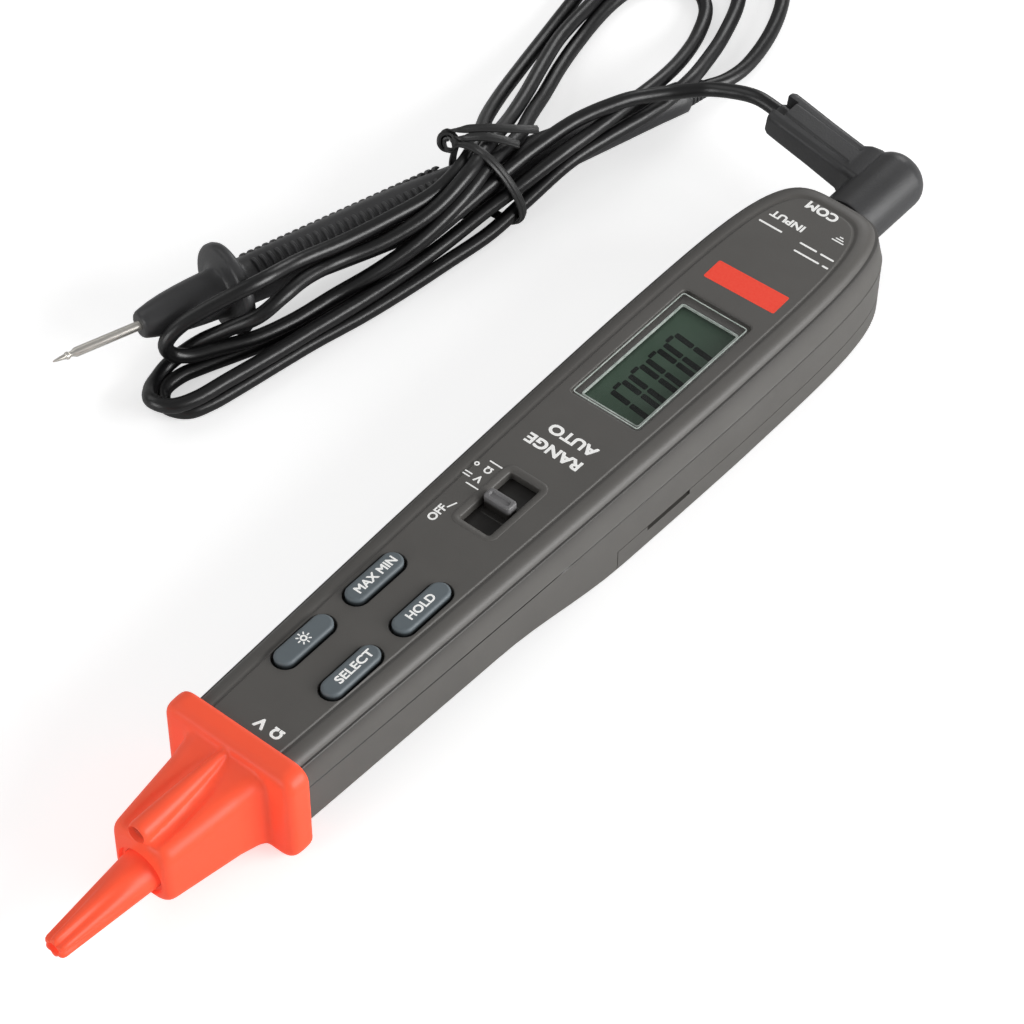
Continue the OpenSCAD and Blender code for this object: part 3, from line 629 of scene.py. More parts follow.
def cell_wrap():
    """A cell's wrap with its bare metal ends."""
    finish = Finish("cell_finish")
    x = finish.axes()[0]
    low, high = span("cell_a")[0].x, span("cell_a")[1].x
    bare = (x < low + 1.0) + (x > high - 1.9)
    band = (x > low + 30) * (x < low + 34)
    wrap = finish.mix(band, chosen("cell"), srgb(214, 170, 90))
    scuff = finish.noise(1.2, 3.0)
    return finish.surface({
        "Base Color": finish.mix(bare, wrap, srgb(196, 194, 190)), "Metallic": bare,
        "Roughness": 0.26 + scuff * 0.14})


# The emission paints a glow on the red plastic, which brightens it beyond its light.
RED_SOCKETS = {
    "Specular IOR Level": 0.36, "Subsurface Weight": 0.12,
    "Subsurface Radius": (0.8, 0.2, 0.1), "Subsurface Scale": 1.2 * MM,
    "Emission Color": (1, 0.14, 0.08, 1), "Emission Strength": 0.23}

# For moulded plastic: material, colour, roughness, grain, its depth, mottling, shade, sockets.
# For metal: material, colour, roughness, streak
FINISHES = {
    "case_plastic": (moulded, "case_finish", "case", 0.46, 5.0, 0.02, 0.05, step_shade),
    "red_plastic": (moulded, "red_finish", "red", 0.42, 4.0, 0.012, 0.035, bore_shade,
                    RED_SOCKETS),
    "key_plastic": (moulded, "key_finish", "key", 0.5, 6.0, 0.012, 0.05, well_shade),
    "pale_plastic": (moulded, "pale_finish", (216, 212, 202), 0.5, 4.0, 0.01, 0.04),
    "strip_rubber": (moulded, "strip_finish", (226, 150, 158), 0.6, 3.0, 0.03, 0.1),
    "plug_black": (moulded, "plug_finish", "plug", 0.38, 3.2, 0.03, 0.12),
    "tie_plastic": (moulded, "tie_finish", (50, 50, 50), 0.38, 2.0, 0.03, 0.1),
    "nickel": (metal, "nickel_finish", (252, 248, 240), 0.3, 0.05),
    "screw_steel": (metal, "steel_finish", (186, 186, 188), 0.26, 1.0),
    "spring_brass": (metal, "brass_finish", (214, 176, 110), 0.24, 0.2)}
for make_finish in (knob_plastic, cable_black, clear_window, window_edge, display_panel,
                    display_ink, white_ink, red_ink, board_laminate, cell_wrap):
    FINISHES[make_finish.__name__] = (make_finish,)
made_finishes = {}


def finish_named(name):
    """The material of that name, made when it is first asked for."""
    if name not in made_finishes:
        make, *settings = FINISHES[name]
        made_finishes[name] = make(*settings)
    return made_finishes[name]


def linked(name, data):
    """An object in the scene that shows the data."""
    piece = bpy.data.objects.new(name, data)
    bpy.context.scene.collection.objects.link(piece)
    return piece


def evaluated_mesh(piece):
    """The mesh that the piece's modifiers make."""
    graph = bpy.context.evaluated_depsgraph_get()
    return bpy.data.meshes.new_from_object(piece.evaluated_get(graph))


def new_piece(name, points, faces):
    """An object from points in millimetres."""
    mesh = bpy.data.meshes.new(name)
    mesh.from_pydata([Vector(point) * MM for point in points], [], faces)
    mesh.update()
    return linked(name, mesh)


def face_out(piece):
    """Merges doubled points and turns every face outwards."""
    work = bmesh.new()
    work.from_mesh(piece.data)
    bmesh.ops.remove_doubles(work, verts=work.verts, dist=0.001 * MM)
    bmesh.ops.recalc_face_normals(work, faces=work.faces)
    work.to_mesh(piece.data)
    work.free()
    return piece


def turns(steps):
    """Angles round a circle, in radians."""
    return [2 * math.pi * k / steps for k in range(steps)]


def quarter(steps):
    """Angles from 0 to a right angle, in radians."""
    return [math.pi / 2 * i / steps for i in range(steps + 1)]


def skin_faces(rings, size, closed=False):
    """Quads between rings of size points each, and back to the first ring if closed."""
    pairs = [(r * size, (r + 1) * size) for r in range(rings - 1)]
    if closed:
        pairs.append(((rings - 1) * size, 0))
    return [(a + k, a + (k + 1) % size, b + (k + 1) % size, b + k)
            for a, b in pairs for k in range(size)]


def skin(name, rings, more=(), closed=False):
    """A skin through rings of equally many points, with more faces besides."""
    points = [point for ring in rings for point in ring]
    faces = skin_faces(len(rings), len(rings[0]), closed)
    return face_out(new_piece(name, points, faces + list(more)))


def loft(name, rings):
    """A closed skin through rings, filled at both ends."""
    size = len(rings[0])
    last = (len(rings) - 1) * size
    return skin(name, rings, [tuple(range(size)), tuple(range(last, last + size))])


def settle(piece):
    """Replaces the piece's mesh by what its modifiers make of it."""
    mesh = evaluated_mesh(piece)
    piece.modifiers.clear()
    old = piece.data
    piece.data = mesh
    bpy.data.meshes.remove(old)
    mesh.name = piece.name


def modified(piece, kind, **settings):
    """Runs one modifier on the piece."""
    step = piece.modifiers.new(kind.lower(), kind)
    for name, value in settings.items():
        setattr(step, name, value)
    settle(piece)


def combine(piece, tool, operation="DIFFERENCE"):
    """Cuts the tool out of the piece, or joins or intersects them. The tool is used up."""
    modified(piece, "BOOLEAN", operation=operation, solver="EXACT", object=tool)
    bpy.data.objects.remove(tool)
    return piece


def merge(name, pieces):
    """One object from several, as they are."""
    work = bmesh.new()
    for piece in pieces:
        work.from_mesh(piece.data)
        bpy.data.objects.remove(piece)
    mesh = bpy.data.meshes.new(name)
    work.to_mesh(mesh)
    work.free()
    return linked(name, mesh)


def shade(piece, sharp, weighted=True):
    """Smooth shading that stays crisp at edges sharper than so many degrees."""
    piece.data.shade_smooth()
    piece.data.set_sharp_from_angle(angle=math.radians(sharp))
    if weighted:
        modified(piece, "WEIGHTED_NORMAL", keep_sharp=True)


def soften(piece, width, segments, sharp):
    """Rounds the edges that are sharper than so many degrees."""
    modified(piece, "BEVEL", width=width * MM, segments=segments, limit_method="ANGLE",
             angle_limit=math.radians(sharp))


def dress(piece, body, slot, finish=None, replaces=()):
    """Gives a finished piece its material and its body."""
    piece.data.materials.clear()
    piece.data.materials.append(finish_named(finish or slot))
    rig.ride(piece, body)
    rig.slot(piece, slot)
    if replaces:
        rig.replaces(piece, *replaces)
    return piece


def rounded(half_x, half_y, corner, arc=8):
    """Points round a rectangle with round corners."""
    points = []
    for quadrant, (side_x, side_y) in enumerate([(1, 1), (-1, 1), (-1, -1), (1, -1)]):
        for i in range(arc + 1):
            turn = math.radians(90 * (quadrant + i / arc))
            points.append((side_x * (half_x - corner) + corner * math.cos(turn),
                           side_y * (half_y - corner) + corner * math.sin(turn)))
    return points


def stack(name, half_x, half_y, corner, levels, at=(0, 0)):
    """A solid of rounded rectangles, one for each pair of height and inset."""
    rings = []
    for height, inset in levels:
        outline = rounded(half_x - inset, half_y - inset, max(corner - inset, 0.05))
        rings.append([(at[0] + x, at[1] + y, height) for x, y in outline])
    return loft(name, rings)


def block(name, half_x, half_y, corner, z0, z1, at=(0, 0)):
    """A rounded rectangle from one height to another."""
    return stack(name, half_x, half_y, corner, [(z0, 0), (z1, 0)], at)


def round_top(z, radius, steps=5):
    """Levels of a rounded upper edge that ends at height z."""
    return [(z - radius * (1 - math.sin(t)), radius * (1 - math.cos(t)))
            for t in quarter(steps)]


def round_bottom(z, radius, steps=4):
    """Levels of a rounded lower edge that starts at height z."""
    return [(z + radius * (1 - math.cos(t)), radius * (1 - math.sin(t)))
            for t in quarter(steps)]


def flare(z, radius, rise=None, steps=4):
    """Levels of a cutter that leaves a rounded rim, as high as rise, at height z."""
    levels = [(z - (rise or radius) * (1 - math.sin(t)), -radius * (1 - math.cos(t)))
              for t in quarter(steps)]
    return levels + [(DECK_Z + 1.5, -radius)]


def turned(name, profile, origin, axis, segments=48):
    """A turned solid from pairs of place along the axis and radius."""
    along = Vector(axis).normalized()
    side = along.orthogonal().normalized()
    other = along.cross(side)
    rings = []
    for place, radius in profile:
        centre = Vector(origin) + along * place
        rings.append([centre + max(radius, 0.001) * (side * math.cos(t) + other * math.sin(t))
                      for t in turns(segments)])
    return loft(name, rings)


def rod(name, x0, x1, radius, z, segments=64):
    """A plain cylinder along X."""
    return turned(name, [(x0, radius), (x1, radius)], (0, 0, z), X_AXIS, segments)


def smooth_path(points, steps):
    """A smooth curve through the points, with steps between each two."""
    ends = [2 * Vector(points[0]) - Vector(points[1]), *map(Vector, points),
            2 * Vector(points[-1]) - Vector(points[-2])]
    path = []
    for i in range(len(points) - 1):
        a, b, c, d = ends[i:i + 4]
        for k in range(steps):
            t = k / steps
            path.append(0.5 * (2 * b + (c - a) * t + (2 * a - 5 * b + 4 * c - d) * t ** 2
                               + (3 * b - a - 3 * c + d) * t ** 3))
    return path + [Vector(points[-1])]


def strip(name, path, outward, section, closed=False):
    """Sweeps a flat section along a path. Its second measure points outward."""
    rings = []
    size = len(path)
    for i, point in enumerate(path):
        after = path[(i + 1) % size] if closed else path[min(i + 1, size - 1)]
        before = path[i - 1] if closed else path[max(i - 1, 0)]
        along = (after - before).normalized()
        out = outward(point)
        out = (out - along * out.dot(along)).normalized()
        across = along.cross(out)
        rings.append([point + across * u + out * v for u, v in section])
    return skin(name, rings, closed=True) if closed else loft(name, rings)


class Growth(Tree):
    """A Geometry Nodes tree whose inputs have names."""

    def __init__(self, name):
        tree = bpy.data.node_groups.new(name, "GeometryNodeTree")
        super().__init__(tree)
        self.sockets = {}
        self.add_input("Geometry", "NodeSocketGeometry")
        tree.interface.new_socket("Geometry", in_out="OUTPUT",
                                  socket_type="NodeSocketGeometry")

    def add_input(self, name, kind):
        """Declares one named input."""
        socket = self.tree.interface.new_socket(name, in_out="INPUT", socket_type=kind)
        self.sockets[name] = socket.identifier

    def inputs(self, *pairs):
        for name, kind in pairs:
            self.add_input(name, "NodeSocket" + kind)
        self.add_input("Material", "NodeSocketMaterial")
        return self.node("NodeGroupInput")

    def finish(self, geometry, material, smooth=False):
        """Ends the tree: instances made real, one material, smooth shading if asked."""
        if smooth:
            sockets = {0: geometry, "Shade Smooth": True}
            geometry = self.node("GeometryNodeSetShadeSmooth", None, sockets)[0]
        real = self.node("GeometryNodeRealizeInstances", None, {0: geometry})[0]
        painted = self.node("GeometryNodeSetMaterial", None, {0: real, "Material": material})
        self.node("NodeGroupOutput", None, {0: painted[0]})
        return self

    def swept(self, path, radius, sides):
        """A round tube along a curve."""
        ring = self.node("GeometryNodeCurvePrimitiveCircle", None,
                         {"Resolution": sides, "Radius": radius})[0]
        sockets = {"Curve": path, "Profile Curve": ring, "Fill Caps": True}
        return self.node("GeometryNodeCurveToMesh", None, sockets)[0]

    def copies(self, points, copy, **sockets):
        """A copy on each point."""
        sockets.update({"Instance": copy})
        return self.node("GeometryNodeInstanceOnPoints", None, {0: points, **sockets})[0]

    def attach(self, piece, finish, **values):
        """Puts the tree on a piece, with its inputs set."""
        step = piece.modifiers.new(self.tree.name, "NODES")
        step.node_group = self.tree
        for name, value in values.items():
            step[self.sockets[name]] = value
        step[self.sockets["Material"]] = finish_named(finish)

    def grow(self, piece, finish, **values):
        """Runs the tree on a piece and leaves a plain mesh."""
        self.attach(piece, finish, **values)
        settle(piece)


def tube_growth():
    """Sweeps a round tube along the curve that it is given."""
    tree = Growth("Tube along path")
    path, radius, sides, material = tree.inputs(("Radius", "Float"), ("Sides", "Int"))[:4]
    return tree.finish(tree.swept(path, radius, sides), material, smooth=True)


def row_growth():
    """Repeats what it is given in a straight row."""
    tree = Growth("Row of copies")
    copy, number, step, material = tree.inputs(("Count", "Int"), ("Step", "Vector"))[:4]
    line = tree.node("GeometryNodeMeshLine", None, {"Count": number, "Offset": step})[0]
    return tree.finish(tree.copies(line, copy), material)


def round_growth():
    """Repeats what it is given in a circle round Z."""
    tree = Growth("Copies round an axis")
    copy, number, material = tree.inputs(("Count", "Int"))[:3]
    line = tree.node("GeometryNodeMeshLine", None, {"Count": number, "Offset": (0, 0, 0)})[0]
    turn = tree.node("GeometryNodeInputIndex")[0] * (2 * math.pi) / number
    angles = tree.node("ShaderNodeCombineXYZ", None, {"Z": turn})[0]
    return tree.finish(tree.copies(line, copy, Rotation=angles), material)


def spring_growth():
    """Winds a wire spring along X from the origin."""
    tree = Growth("Wire spring")
    pairs = [("Radius", "Float"), ("Length", "Float"), ("Turns", "Float"), ("Wire", "Float")]
    radius, long, rounds, wire, material = tree.inputs(*pairs)[1:6]
    spiral = tree.node("GeometryNodeCurveSpiral", None, {
        "Resolution": 28, "Rotations": rounds, "Start Radius": radius,
        "End Radius": radius, "Height": long})[0]
    laid = tree.node("GeometryNodeTransform", None,
                     {0: spiral, "Rotation": (0, math.pi / 2, 0)})[0]
    return tree.finish(tree.swept(laid, wire, 10), material, smooth=True)


GROWTHS = {"tube": tube_growth, "row": row_growth, "round": round_growth,
           "spring": spring_growth}
made_growths = {}


def growth_named(name):
    """The Geometry Nodes tree of that name, made when it is first asked for."""
    if name not in made_growths:
        made_growths[name] = GROWTHS[name]()
    return made_growths[name]


def moved(piece, matrix):
    """Puts a place in millimetres into the mesh."""
    scaled = matrix.copy()
    scaled.translation = matrix.translation * MM
    piece.data.transform(scaled)
    return piece


def placed(piece, at, degrees=0):
    """Turns the piece round Z and puts it at a place in millimetres."""
    turn = Matrix.Rotation(math.radians(degrees), 4, "Z")
    return moved(piece, Matrix.Translation(Vector(at)) @ turn)


def ink_depth():
    """Thickness of the print in millimetres."""
    return bpy.context.scene.penmeter_sizes.ink / MM


def lettering(name, words, height, at, degrees=0, width=1.0, weight=0.035):
    """Printed words, centred at a place, with capitals of that height."""
    extrude = 0.01
    curve = bpy.data.curves.new(name, "FONT")
    curve.body = words
    curve.size = 1
    curve.align_x = "CENTER"
    curve.align_y = "CENTER"
    curve.extrude = extrude
    curve.resolution_u = 4
    holder = linked(name, curve)
    mesh = evaluated_mesh(holder)
    bpy.data.objects.remove(holder)
    low = min(v.co.y for v in mesh.vertices)
    high = max(v.co.y for v in mesh.vertices)
    scale = height * MM / (high - low)
    flat = ink_depth() * MM / (2 * extrude * scale)
    mesh.transform(Matrix.Diagonal((scale * width, scale, scale * flat, 1)))
    centre = Vector((sum(v.co.x for v in mesh.vertices) / len(mesh.vertices),
                     (low + high) / 2 * scale, 0))
    mesh.transform(Matrix.Translation(-centre))
    return placed(bolder(linked(name, mesh), height * weight), at, degrees)


def bolder(piece, by):
    """Thickens flat letters with shifted copies, each a little higher than the last."""
    work = bmesh.new()
    for k, (u, v) in enumerate([(-1, -1), (1, -1), (1, 1), (-1, 1)]):
        copy = piece.data.copy()
        copy.transform(Matrix.Translation(Vector((u * by, v * by, 0.003 * k)) * MM))
        work.from_mesh(copy)
        bpy.data.meshes.remove(copy)
    work.to_mesh(piece.data)
    work.free()
    return piece


def mark(name, half_x, half_y, corner, at, degrees=0):
    """A flat printed mark with round corners."""
    return placed(block(name, half_x, half_y, corner, 0, ink_depth()), at, degrees)


def ring_mark(name, outer, inner, at):
    """A flat printed ring."""
    ring = block(name, outer, outer, outer, 0, ink_depth())
    combine(ring, block("hole", inner, inner, inner, -1, ink_depth() + 1))
    return placed(ring, at)


# Where each softbox stands, its size and its power in MeterStage
SOFTBOXES = {
    "key_softbox": ((-0.15, 0.85, 0.80), 0.8, "key_power"),
    "side_softbox": ((0.38, -0.95, 0.28), 0.75, "side_power"),
    "tail_softbox": ((1.15, 0.3, 0.6), 0.5, "tail_power"),
    "front_softbox": ((-0.9, 0.2, 0.3), 0.5, "front_power")}
LIGHT_AIM = Vector((0.03, 0.03, 0.0))
FLOOR_HALF = 3000
FLOOR_Z = -0.05


def build_stage(stage):
    """Camera, floor and soft light."""
    scene = bpy.context.scene
    scene.view_settings.view_transform = "Standard"
    camera = linked("camera", bpy.data.cameras.new("camera"))
    forward = Vector((math.cos(stage.azimuth) * math.cos(stage.pitch),
                      math.sin(stage.azimuth) * math.cos(stage.pitch), -math.sin(stage.pitch)))
    level = Vector((math.sin(stage.azimuth), -math.cos(stage.azimuth), 0))
    upward = level.cross(forward)
    right = math.cos(stage.roll) * level + math.sin(stage.roll) * upward
    upward = math.cos(stage.roll) * upward - math.sin(stage.roll) * level
    turn = Matrix((right, upward, -forward)).transposed().to_4x4()
    camera.matrix_world = Matrix.Translation(Vector(stage.place)) @ turn
    camera.data.sensor_width = 36
    camera.data.lens = stage.lens
    camera.data.clip_start = 0.01
    camera.data.clip_end = 20
    scene.camera = camera
    for name, (place, size, power) in SOFTBOXES.items():
        build_light(name, place, size, getattr(stage, power))
    build_world(stage)
    build_floor(stage)


def build_light(name, place, size, power):
    """A square softbox that faces the object."""
    data = bpy.data.lights.new(name, "AREA")
    data.shape = "SQUARE"
    data.size = size
    data.energy = power
    facing = (LIGHT_AIM - Vector(place)).to_track_quat("-Z", "Y").to_matrix().to_4x4()
    linked(name, data).matrix_world = Matrix.Translation(place) @ facing


def build_world(stage):
    """White where it is seen, and a plain level where it gives light."""
    world = bpy.data.worlds.new("studio")
    world.use_nodes = True
    bpy.context.scene.world = world
    tree = Tree(world.node_tree)
    tree.tree.nodes.clear()
    path = tree.node("ShaderNodeLightPath")
    seen, glossy = path[0], path[3]
    level = stage.world + seen * (1 - stage.world) + glossy * (stage.gloss - stage.world)
    light = tree.node("ShaderNodeBackground", None, {"Color": (1, 1, 1, 1), "Strength": level})
    tree.node("ShaderNodeOutputWorld", None, {"Surface": light[0]})


def build_floor(stage):
    """A pale floor that keeps the object's shadow and is white where nothing lies on it."""
    corners = [(x * FLOOR_HALF, y * FLOOR_HALF, FLOOR_Z)
               for x, y in ((-1, -1), (1, -1), (1, 1), (-1, 1))]
    floor = new_piece("floor", corners, [(0, 1, 2, 3)])
    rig.stage(floor)
    finish = Finish("floor_finish")
    seen = finish.node("ShaderNodeLightPath")[0]
    base = finish.mix(finish.noise(0.02) * 0.1, (0.86, 0.86, 0.86), (0.84, 0.84, 0.84))
    matte = finish.node("ShaderNodeBsdfDiffuse", None, {"Color": base})[0]
    glow = finish.node("ShaderNodeEmission", None,
                       {"Color": (1, 1, 1, 1), "Strength": seen * stage.floor})[0]
    both = finish.node("ShaderNodeAddShader", None, {0: matte, 1: glow})[0]
    finish.node("ShaderNodeOutputMaterial", None, {"Surface": both})
    floor.data.materials.append(finish.material)


# The test lead, from the plug's boot through the tied turns to the probe
LEAD_ROUTE = [
    (118.5, 26, 15), (118.5, 31, 15.5), (118, 36, 14.5), (116.5, 41.5, 13),
    (112.5, 46, 12.5), (108, 49, 13), (103, 51.5, 13.6), (94, 55, 13.2), (84, 57, 12),
    (73, 58, 10.8), (62, 59.3, 8.6), (51, 61.3, 6), (41, 63.8, 3), (31, 66.5, 1.5),
    (20, 69.5, 1.5), (10, 73.5, 1.5), (5, 75.2, 1.5), (0.5, 75, 1.5), (-2, 72, 1.5),
    (-0.5, 68.2, 1.5), (3.5, 66.4, 1.5), (9, 65.3, 1.5), (17, 64, 1.5), (27, 62.3, 1.5),
    (37.5, 60, 1.5), (48, 58.3, 1.5), (58.5, 57, 1.5), (69, 55.5, 2), (79, 54.3, 4.5),
    (89, 52.8, 7.3), (99.5, 51, 7.8), (110, 49, 8), (120.5, 49, 7.8), (130.5, 52, 5),
    (140, 55.5, 2.5), (150, 59.7, 1.5), (156.5, 64.5, 1.5), (159, 71, 1.5),
    (156.5, 78, 1.5), (149.5, 82, 1.5), (140, 82.5, 2), (129, 80.8, 3.2),
    (117.5, 78.5, 4.5), (107, 74.5, 6.5), (97, 70.3, 8.5), (87.5, 66.5, 11),
    (78, 62.8, 14.6), (68, 59.8, 15.6), (58, 59.8, 13.4), (48, 62.5, 11.5), (39, 66, 11),
    (31, 66.8, 12.4), (24, 66.6, 12.8), (19, 68, 10.8), (15, 72, 8), (11, 76, 5),
    (6, 78.3, 2.4), (2, 77.8, 2), (-1.8, 76, 3), (-4.6, 72.8, 4.6), (-3.4, 69.2, 4.6),
    (1, 67, 4.6), (8, 65.7, 4.6), (17, 64, 4.6), (28, 62.2, 4.6), (39, 60.7, 4.2),
    (50, 59.8, 3.6), (60, 59, 3.8), (69.5, 57.3, 6), (78, 55, 8.5), (87, 53.2, 10.5),
    (97, 52.3, 10.8), (107, 52, 10.5), (117, 53, 8.5), (127, 55.6, 5.5), (137, 59.5, 2.5),
    (145, 63.8, 1.5), (148.5, 69.5, 1.5), (146.5, 75.5, 1.5), (140.5, 78.6, 1.5),
    (133, 79, 1.5), (122.5, 77.3, 1.5), (112, 74, 3), (102.5, 70, 5.2), (93.5, 66, 8.4),
    (84.5, 61.8, 11.4), (75, 59.8, 13.8), (64.5, 58.3, 12.5), (54, 59.2, 9.6),
    (44.5, 61.7, 7), (36, 65, 4.8), (27, 66.6, 4.6), (19, 69, 4.6), (12.5, 72.6, 4.6),
    (8, 75.2, 4.6), (5, 77, 6.3), (4.4, 77.3, 9.6), (7.6, 75.8, 12.8), (14, 72.6, 15.4),
    (21.5, 69.4, 17), (31, 69, 15), (41, 66.8, 13.8), (51, 64.3, 13.8), (61, 62.3, 14),
    (70, 63, 14.2), (78.5, 66.5, 12.5), (86.5, 71.2, 9.5), (95.5, 75.3, 6.5),
    (106, 79, 4), (117, 82.3, 2.2), (128, 85, 1.5), (139, 87.2, 1.5), (150, 88, 1.5),
    (160, 84.5, 1.5), (166, 77.5, 1.5), (167.5, 68.5, 1.5), (164, 60, 1.5),
    (157, 53.8, 1.5), (147.5, 49.5, 1.5), (137.5, 47.2, 1.7), (130.5, 47.2, 2.3),
    (125, 48.7, 3.2)]
LEAD_STEPS = 6
LEAD_SIDES = 16
LEAD_LIFT = 0.02


def build_lead(sizes):
    """The test lead as one tube of its real length, with its line and that length."""
    path = smooth_path(LEAD_ROUTE, LEAD_STEPS)
    for place in path:
        place.z = max(place.z, sizes.cable / MM / 2 + LEAD_LIFT)
    curve = bpy.data.curves.new("test_lead", "CURVE")
    curve.dimensions = "3D"
    spline = curve.splines.new("POLY")
    spline.points.add(len(path) - 1)
    for point, place in zip(spline.points, path):
        point.co = (*(place * MM), 1)
    holder = linked("test_lead_line", curve)
    growth_named("tube").attach(holder, "cable_black", Radius=sizes.cable / 2,
                                Sides=LEAD_SIDES)
    lead = linked("test_lead", evaluated_mesh(holder))
    bpy.data.objects.remove(holder)
    face_out(lead)
    lead.data.shade_smooth()
    dress(lead, "meter", "cable_black", replaces=("lead_cable", "lead_hank"))
    line = [place * MM for place in path]
    return lead, line, sum((b - a).length for a, b in zip(line, line[1:]))


ELBOW_X0 = TAIL_X + 0.6
ELBOW_RADIUS = 5.85
ELBOW_DOME = 4.2
SHROUD_RADIUS = 4.3
SHROUD_HOLE = 3.3
BOOT_START = Vector((ELBOW_X0 + 11.9, 0.5, SOCKET_Z - 0.2))
BOOT_END = Vector(LEAD_ROUTE[0])


def build_plug():
    """Right-angle plug: a round elbow and a boot with notched ears, on a bright pin."""
    dome_x = span("plug_body")[1].x - ELBOW_DOME
    profile = [(ELBOW_X0, ELBOW_RADIUS - 0.5), (ELBOW_X0 + 0.15, ELBOW_RADIUS - 0.15),
               (ELBOW_X0 + 0.5, ELBOW_RADIUS)]
    profile += [(dome_x + ELBOW_DOME * math.sin(t),
                 ELBOW_RADIUS - ELBOW_DOME * (1 - math.cos(t)) * 1.05) for t in quarter(8)]
    elbow = turned("plug_elbow", profile, (0, 0, SOCKET_Z), X_AXIS, 64)
    combine(elbow, rod("shroud", 88, ELBOW_X0 + 1, SHROUD_RADIUS, SOCKET_Z), "UNION")
    combine(elbow, build_boot(), "UNION")
    combine(elbow, rod("hollow", 86, ELBOW_X0 - 0.5, SHROUD_HOLE, SOCKET_Z))
    soften(elbow, 0.35, 3, 45)
    shade(elbow, 40)
    elbow.name = "plug"
    return dress(elbow, "meter", "plug_black", replaces=("plug_body",))


# Share of the boot's length, half width and half height
BOOT_RINGS = [(0, 5.0, 4.7), (0.16, 5.0, 4.6), (0.24, 4.7, 4.1), (0.3, 4.2, 3.3),
              (0.6, 4.25, 3.05), (0.88, 4.4, 2.9), (0.97, 4.4, 2.85), (1.0, 4.1, 2.6)]
# Share of the boot's length, half width and rise of the ridge on its top
BOOT_RIDGE = [(0.1, 1.7, 2.2), (0.18, 2.0, 2.42), (0.85, 1.9, 2.02), (1.0, 1.8, 1.8)]


def build_boot():
    """The boot: it narrows away from the elbow, with a ridge on top and two end ears."""
    along = (BOOT_END - BOOT_START).normalized()
    across = Vector(X_AXIS)
    out = across.cross(along)
    reach = (BOOT_END - BOOT_START).length

    def ring(share, half_w, half_h, corner, rise=0.0):
        centre = BOOT_START + along * share * reach + out * rise
        return [centre + across * u + out * v for u, v in rounded(half_w, half_h, corner, 6)]

    boot = loft("boot", [ring(*measures, 1.3) for measures in BOOT_RINGS])
    ridge = loft("ridge", [ring(share, half_w, 1.2, 0.5, rise)
                           for share, half_w, rise in BOOT_RIDGE])
    combine(boot, ridge, "UNION")
    combine(boot, loft("notch", [ring(share, 2.3, 6, 0.5, 2.0) for share in (0.9, 1.1)]))
    core = turned("core", [(reach * 0.85, 1.85), (reach * 0.985, 1.85), (reach, 1.6)],
                  BOOT_START, along, 32)
    return combine(boot, core, "UNION")


PROBE_FRONT = Vector((3.6, 83.2, 10.6))
PROBE_AXIS = (Vector((120.4, 50.1, 3.4)) - PROBE_FRONT).normalized()
# Millimetres behind the front of the barrel, and radius there
PROBE_PROFILE = [
    (0, 1.9), (0.1, 2.35), (0.5, 2.65), (1.5, 2.95), (3.5, 3.45), (6, 3.9), (9, 4.25),
    (12, 4.5), (15, 4.65), (16.4, 4.75), (16.8, 5.0), (17.1, 6.2), (17.3, 8.1),
    (17.5, 8.65), (18.0, 8.95), (18.9, 8.95), (19.5, 8.65), (19.8, 8.1), (20.1, 5.6),
    (20.7, 4.75), (22, 4.45), (25, 4.5), (32, 4.72), (40, 5.0), (48, 5.25), (55, 5.38),
    (62, 5.3), (75, 4.9), (90, 4.4), (105, 3.75), (115, 3.3), (119.5, 3.2), (121.1, 3.15),
    (121.5, 2.9), (121.6, 2.4)]
NEEDLE_PROFILE = [
    (-17.8, 0.1), (-17.4, 0.24), (-16.2, 0.42), (-15.4, 0.5), (-15.1, 0.72), (-14.7, 0.74),
    (-14.4, 0.52), (-13.9, 0.55), (-13.2, 0.9), (20.0, 0.9)]
# Degrees by which the middles of the two rows of ribs lean from straight up towards +Y
RIB_LEANS = (-22, 68)
RIB_STEP = 1.65
RIB_START = 24.2
RIB_RADIUS = 4.4
RIB_CLIMB = 0.027
RIB_HALF_ARC = 27
RIB_SIDES = 12
RIB_SECTION = [(-0.5, -0.25), (-0.4, 0.4), (-0.22, 0.58), (0.22, 0.58), (0.4, 0.4),
               (0.5, -0.25)]


RELIEF_STEPS = 5
RELIEF_GROOVE = 0.35


def build_probe(sizes):
    """Probe: rounded barrel, finger guard, ribbed grip, needle and strain relief."""
    handle = probe_piece("probe_grip", PROBE_PROFILE, 56, 45, "plug_black", "probe_handle")
    for k, lean in enumerate(RIB_LEANS):
        build_grip_ribs(sizes, "probe_ribs_%d" % (k + 1), math.radians(lean))
    pin = probe_piece("probe_pin", NEEDLE_PROFILE, 32, 30, "nickel", "probe_needle")
    steps = [(121.5, 2.5)]
    for i in range(RELIEF_STEPS):
        wide = 2.45 - 0.12 * i
        start = 121.7 + 0.95 * i
        steps += [(start, wide), (start + 0.5, wide), (start + 0.6, wide - RELIEF_GROOVE),
                  (start + 0.85, wide - RELIEF_GROOVE)]
    steps += [(126.6, 1.6)]
    relief = probe_piece("probe_strain_relief", steps, 32, 40, "plug_black", "probe_relief")
    return handle, pin, relief


def probe_piece(name, profile, segments, sharp, finish, node):
    """One turned piece of the probe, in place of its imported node."""
    piece = turned(name, profile, PROBE_FRONT, PROBE_AXIS, segments)
    shade(piece, sharp, False)
    return dress(piece, "meter", finish, replaces=(node,))


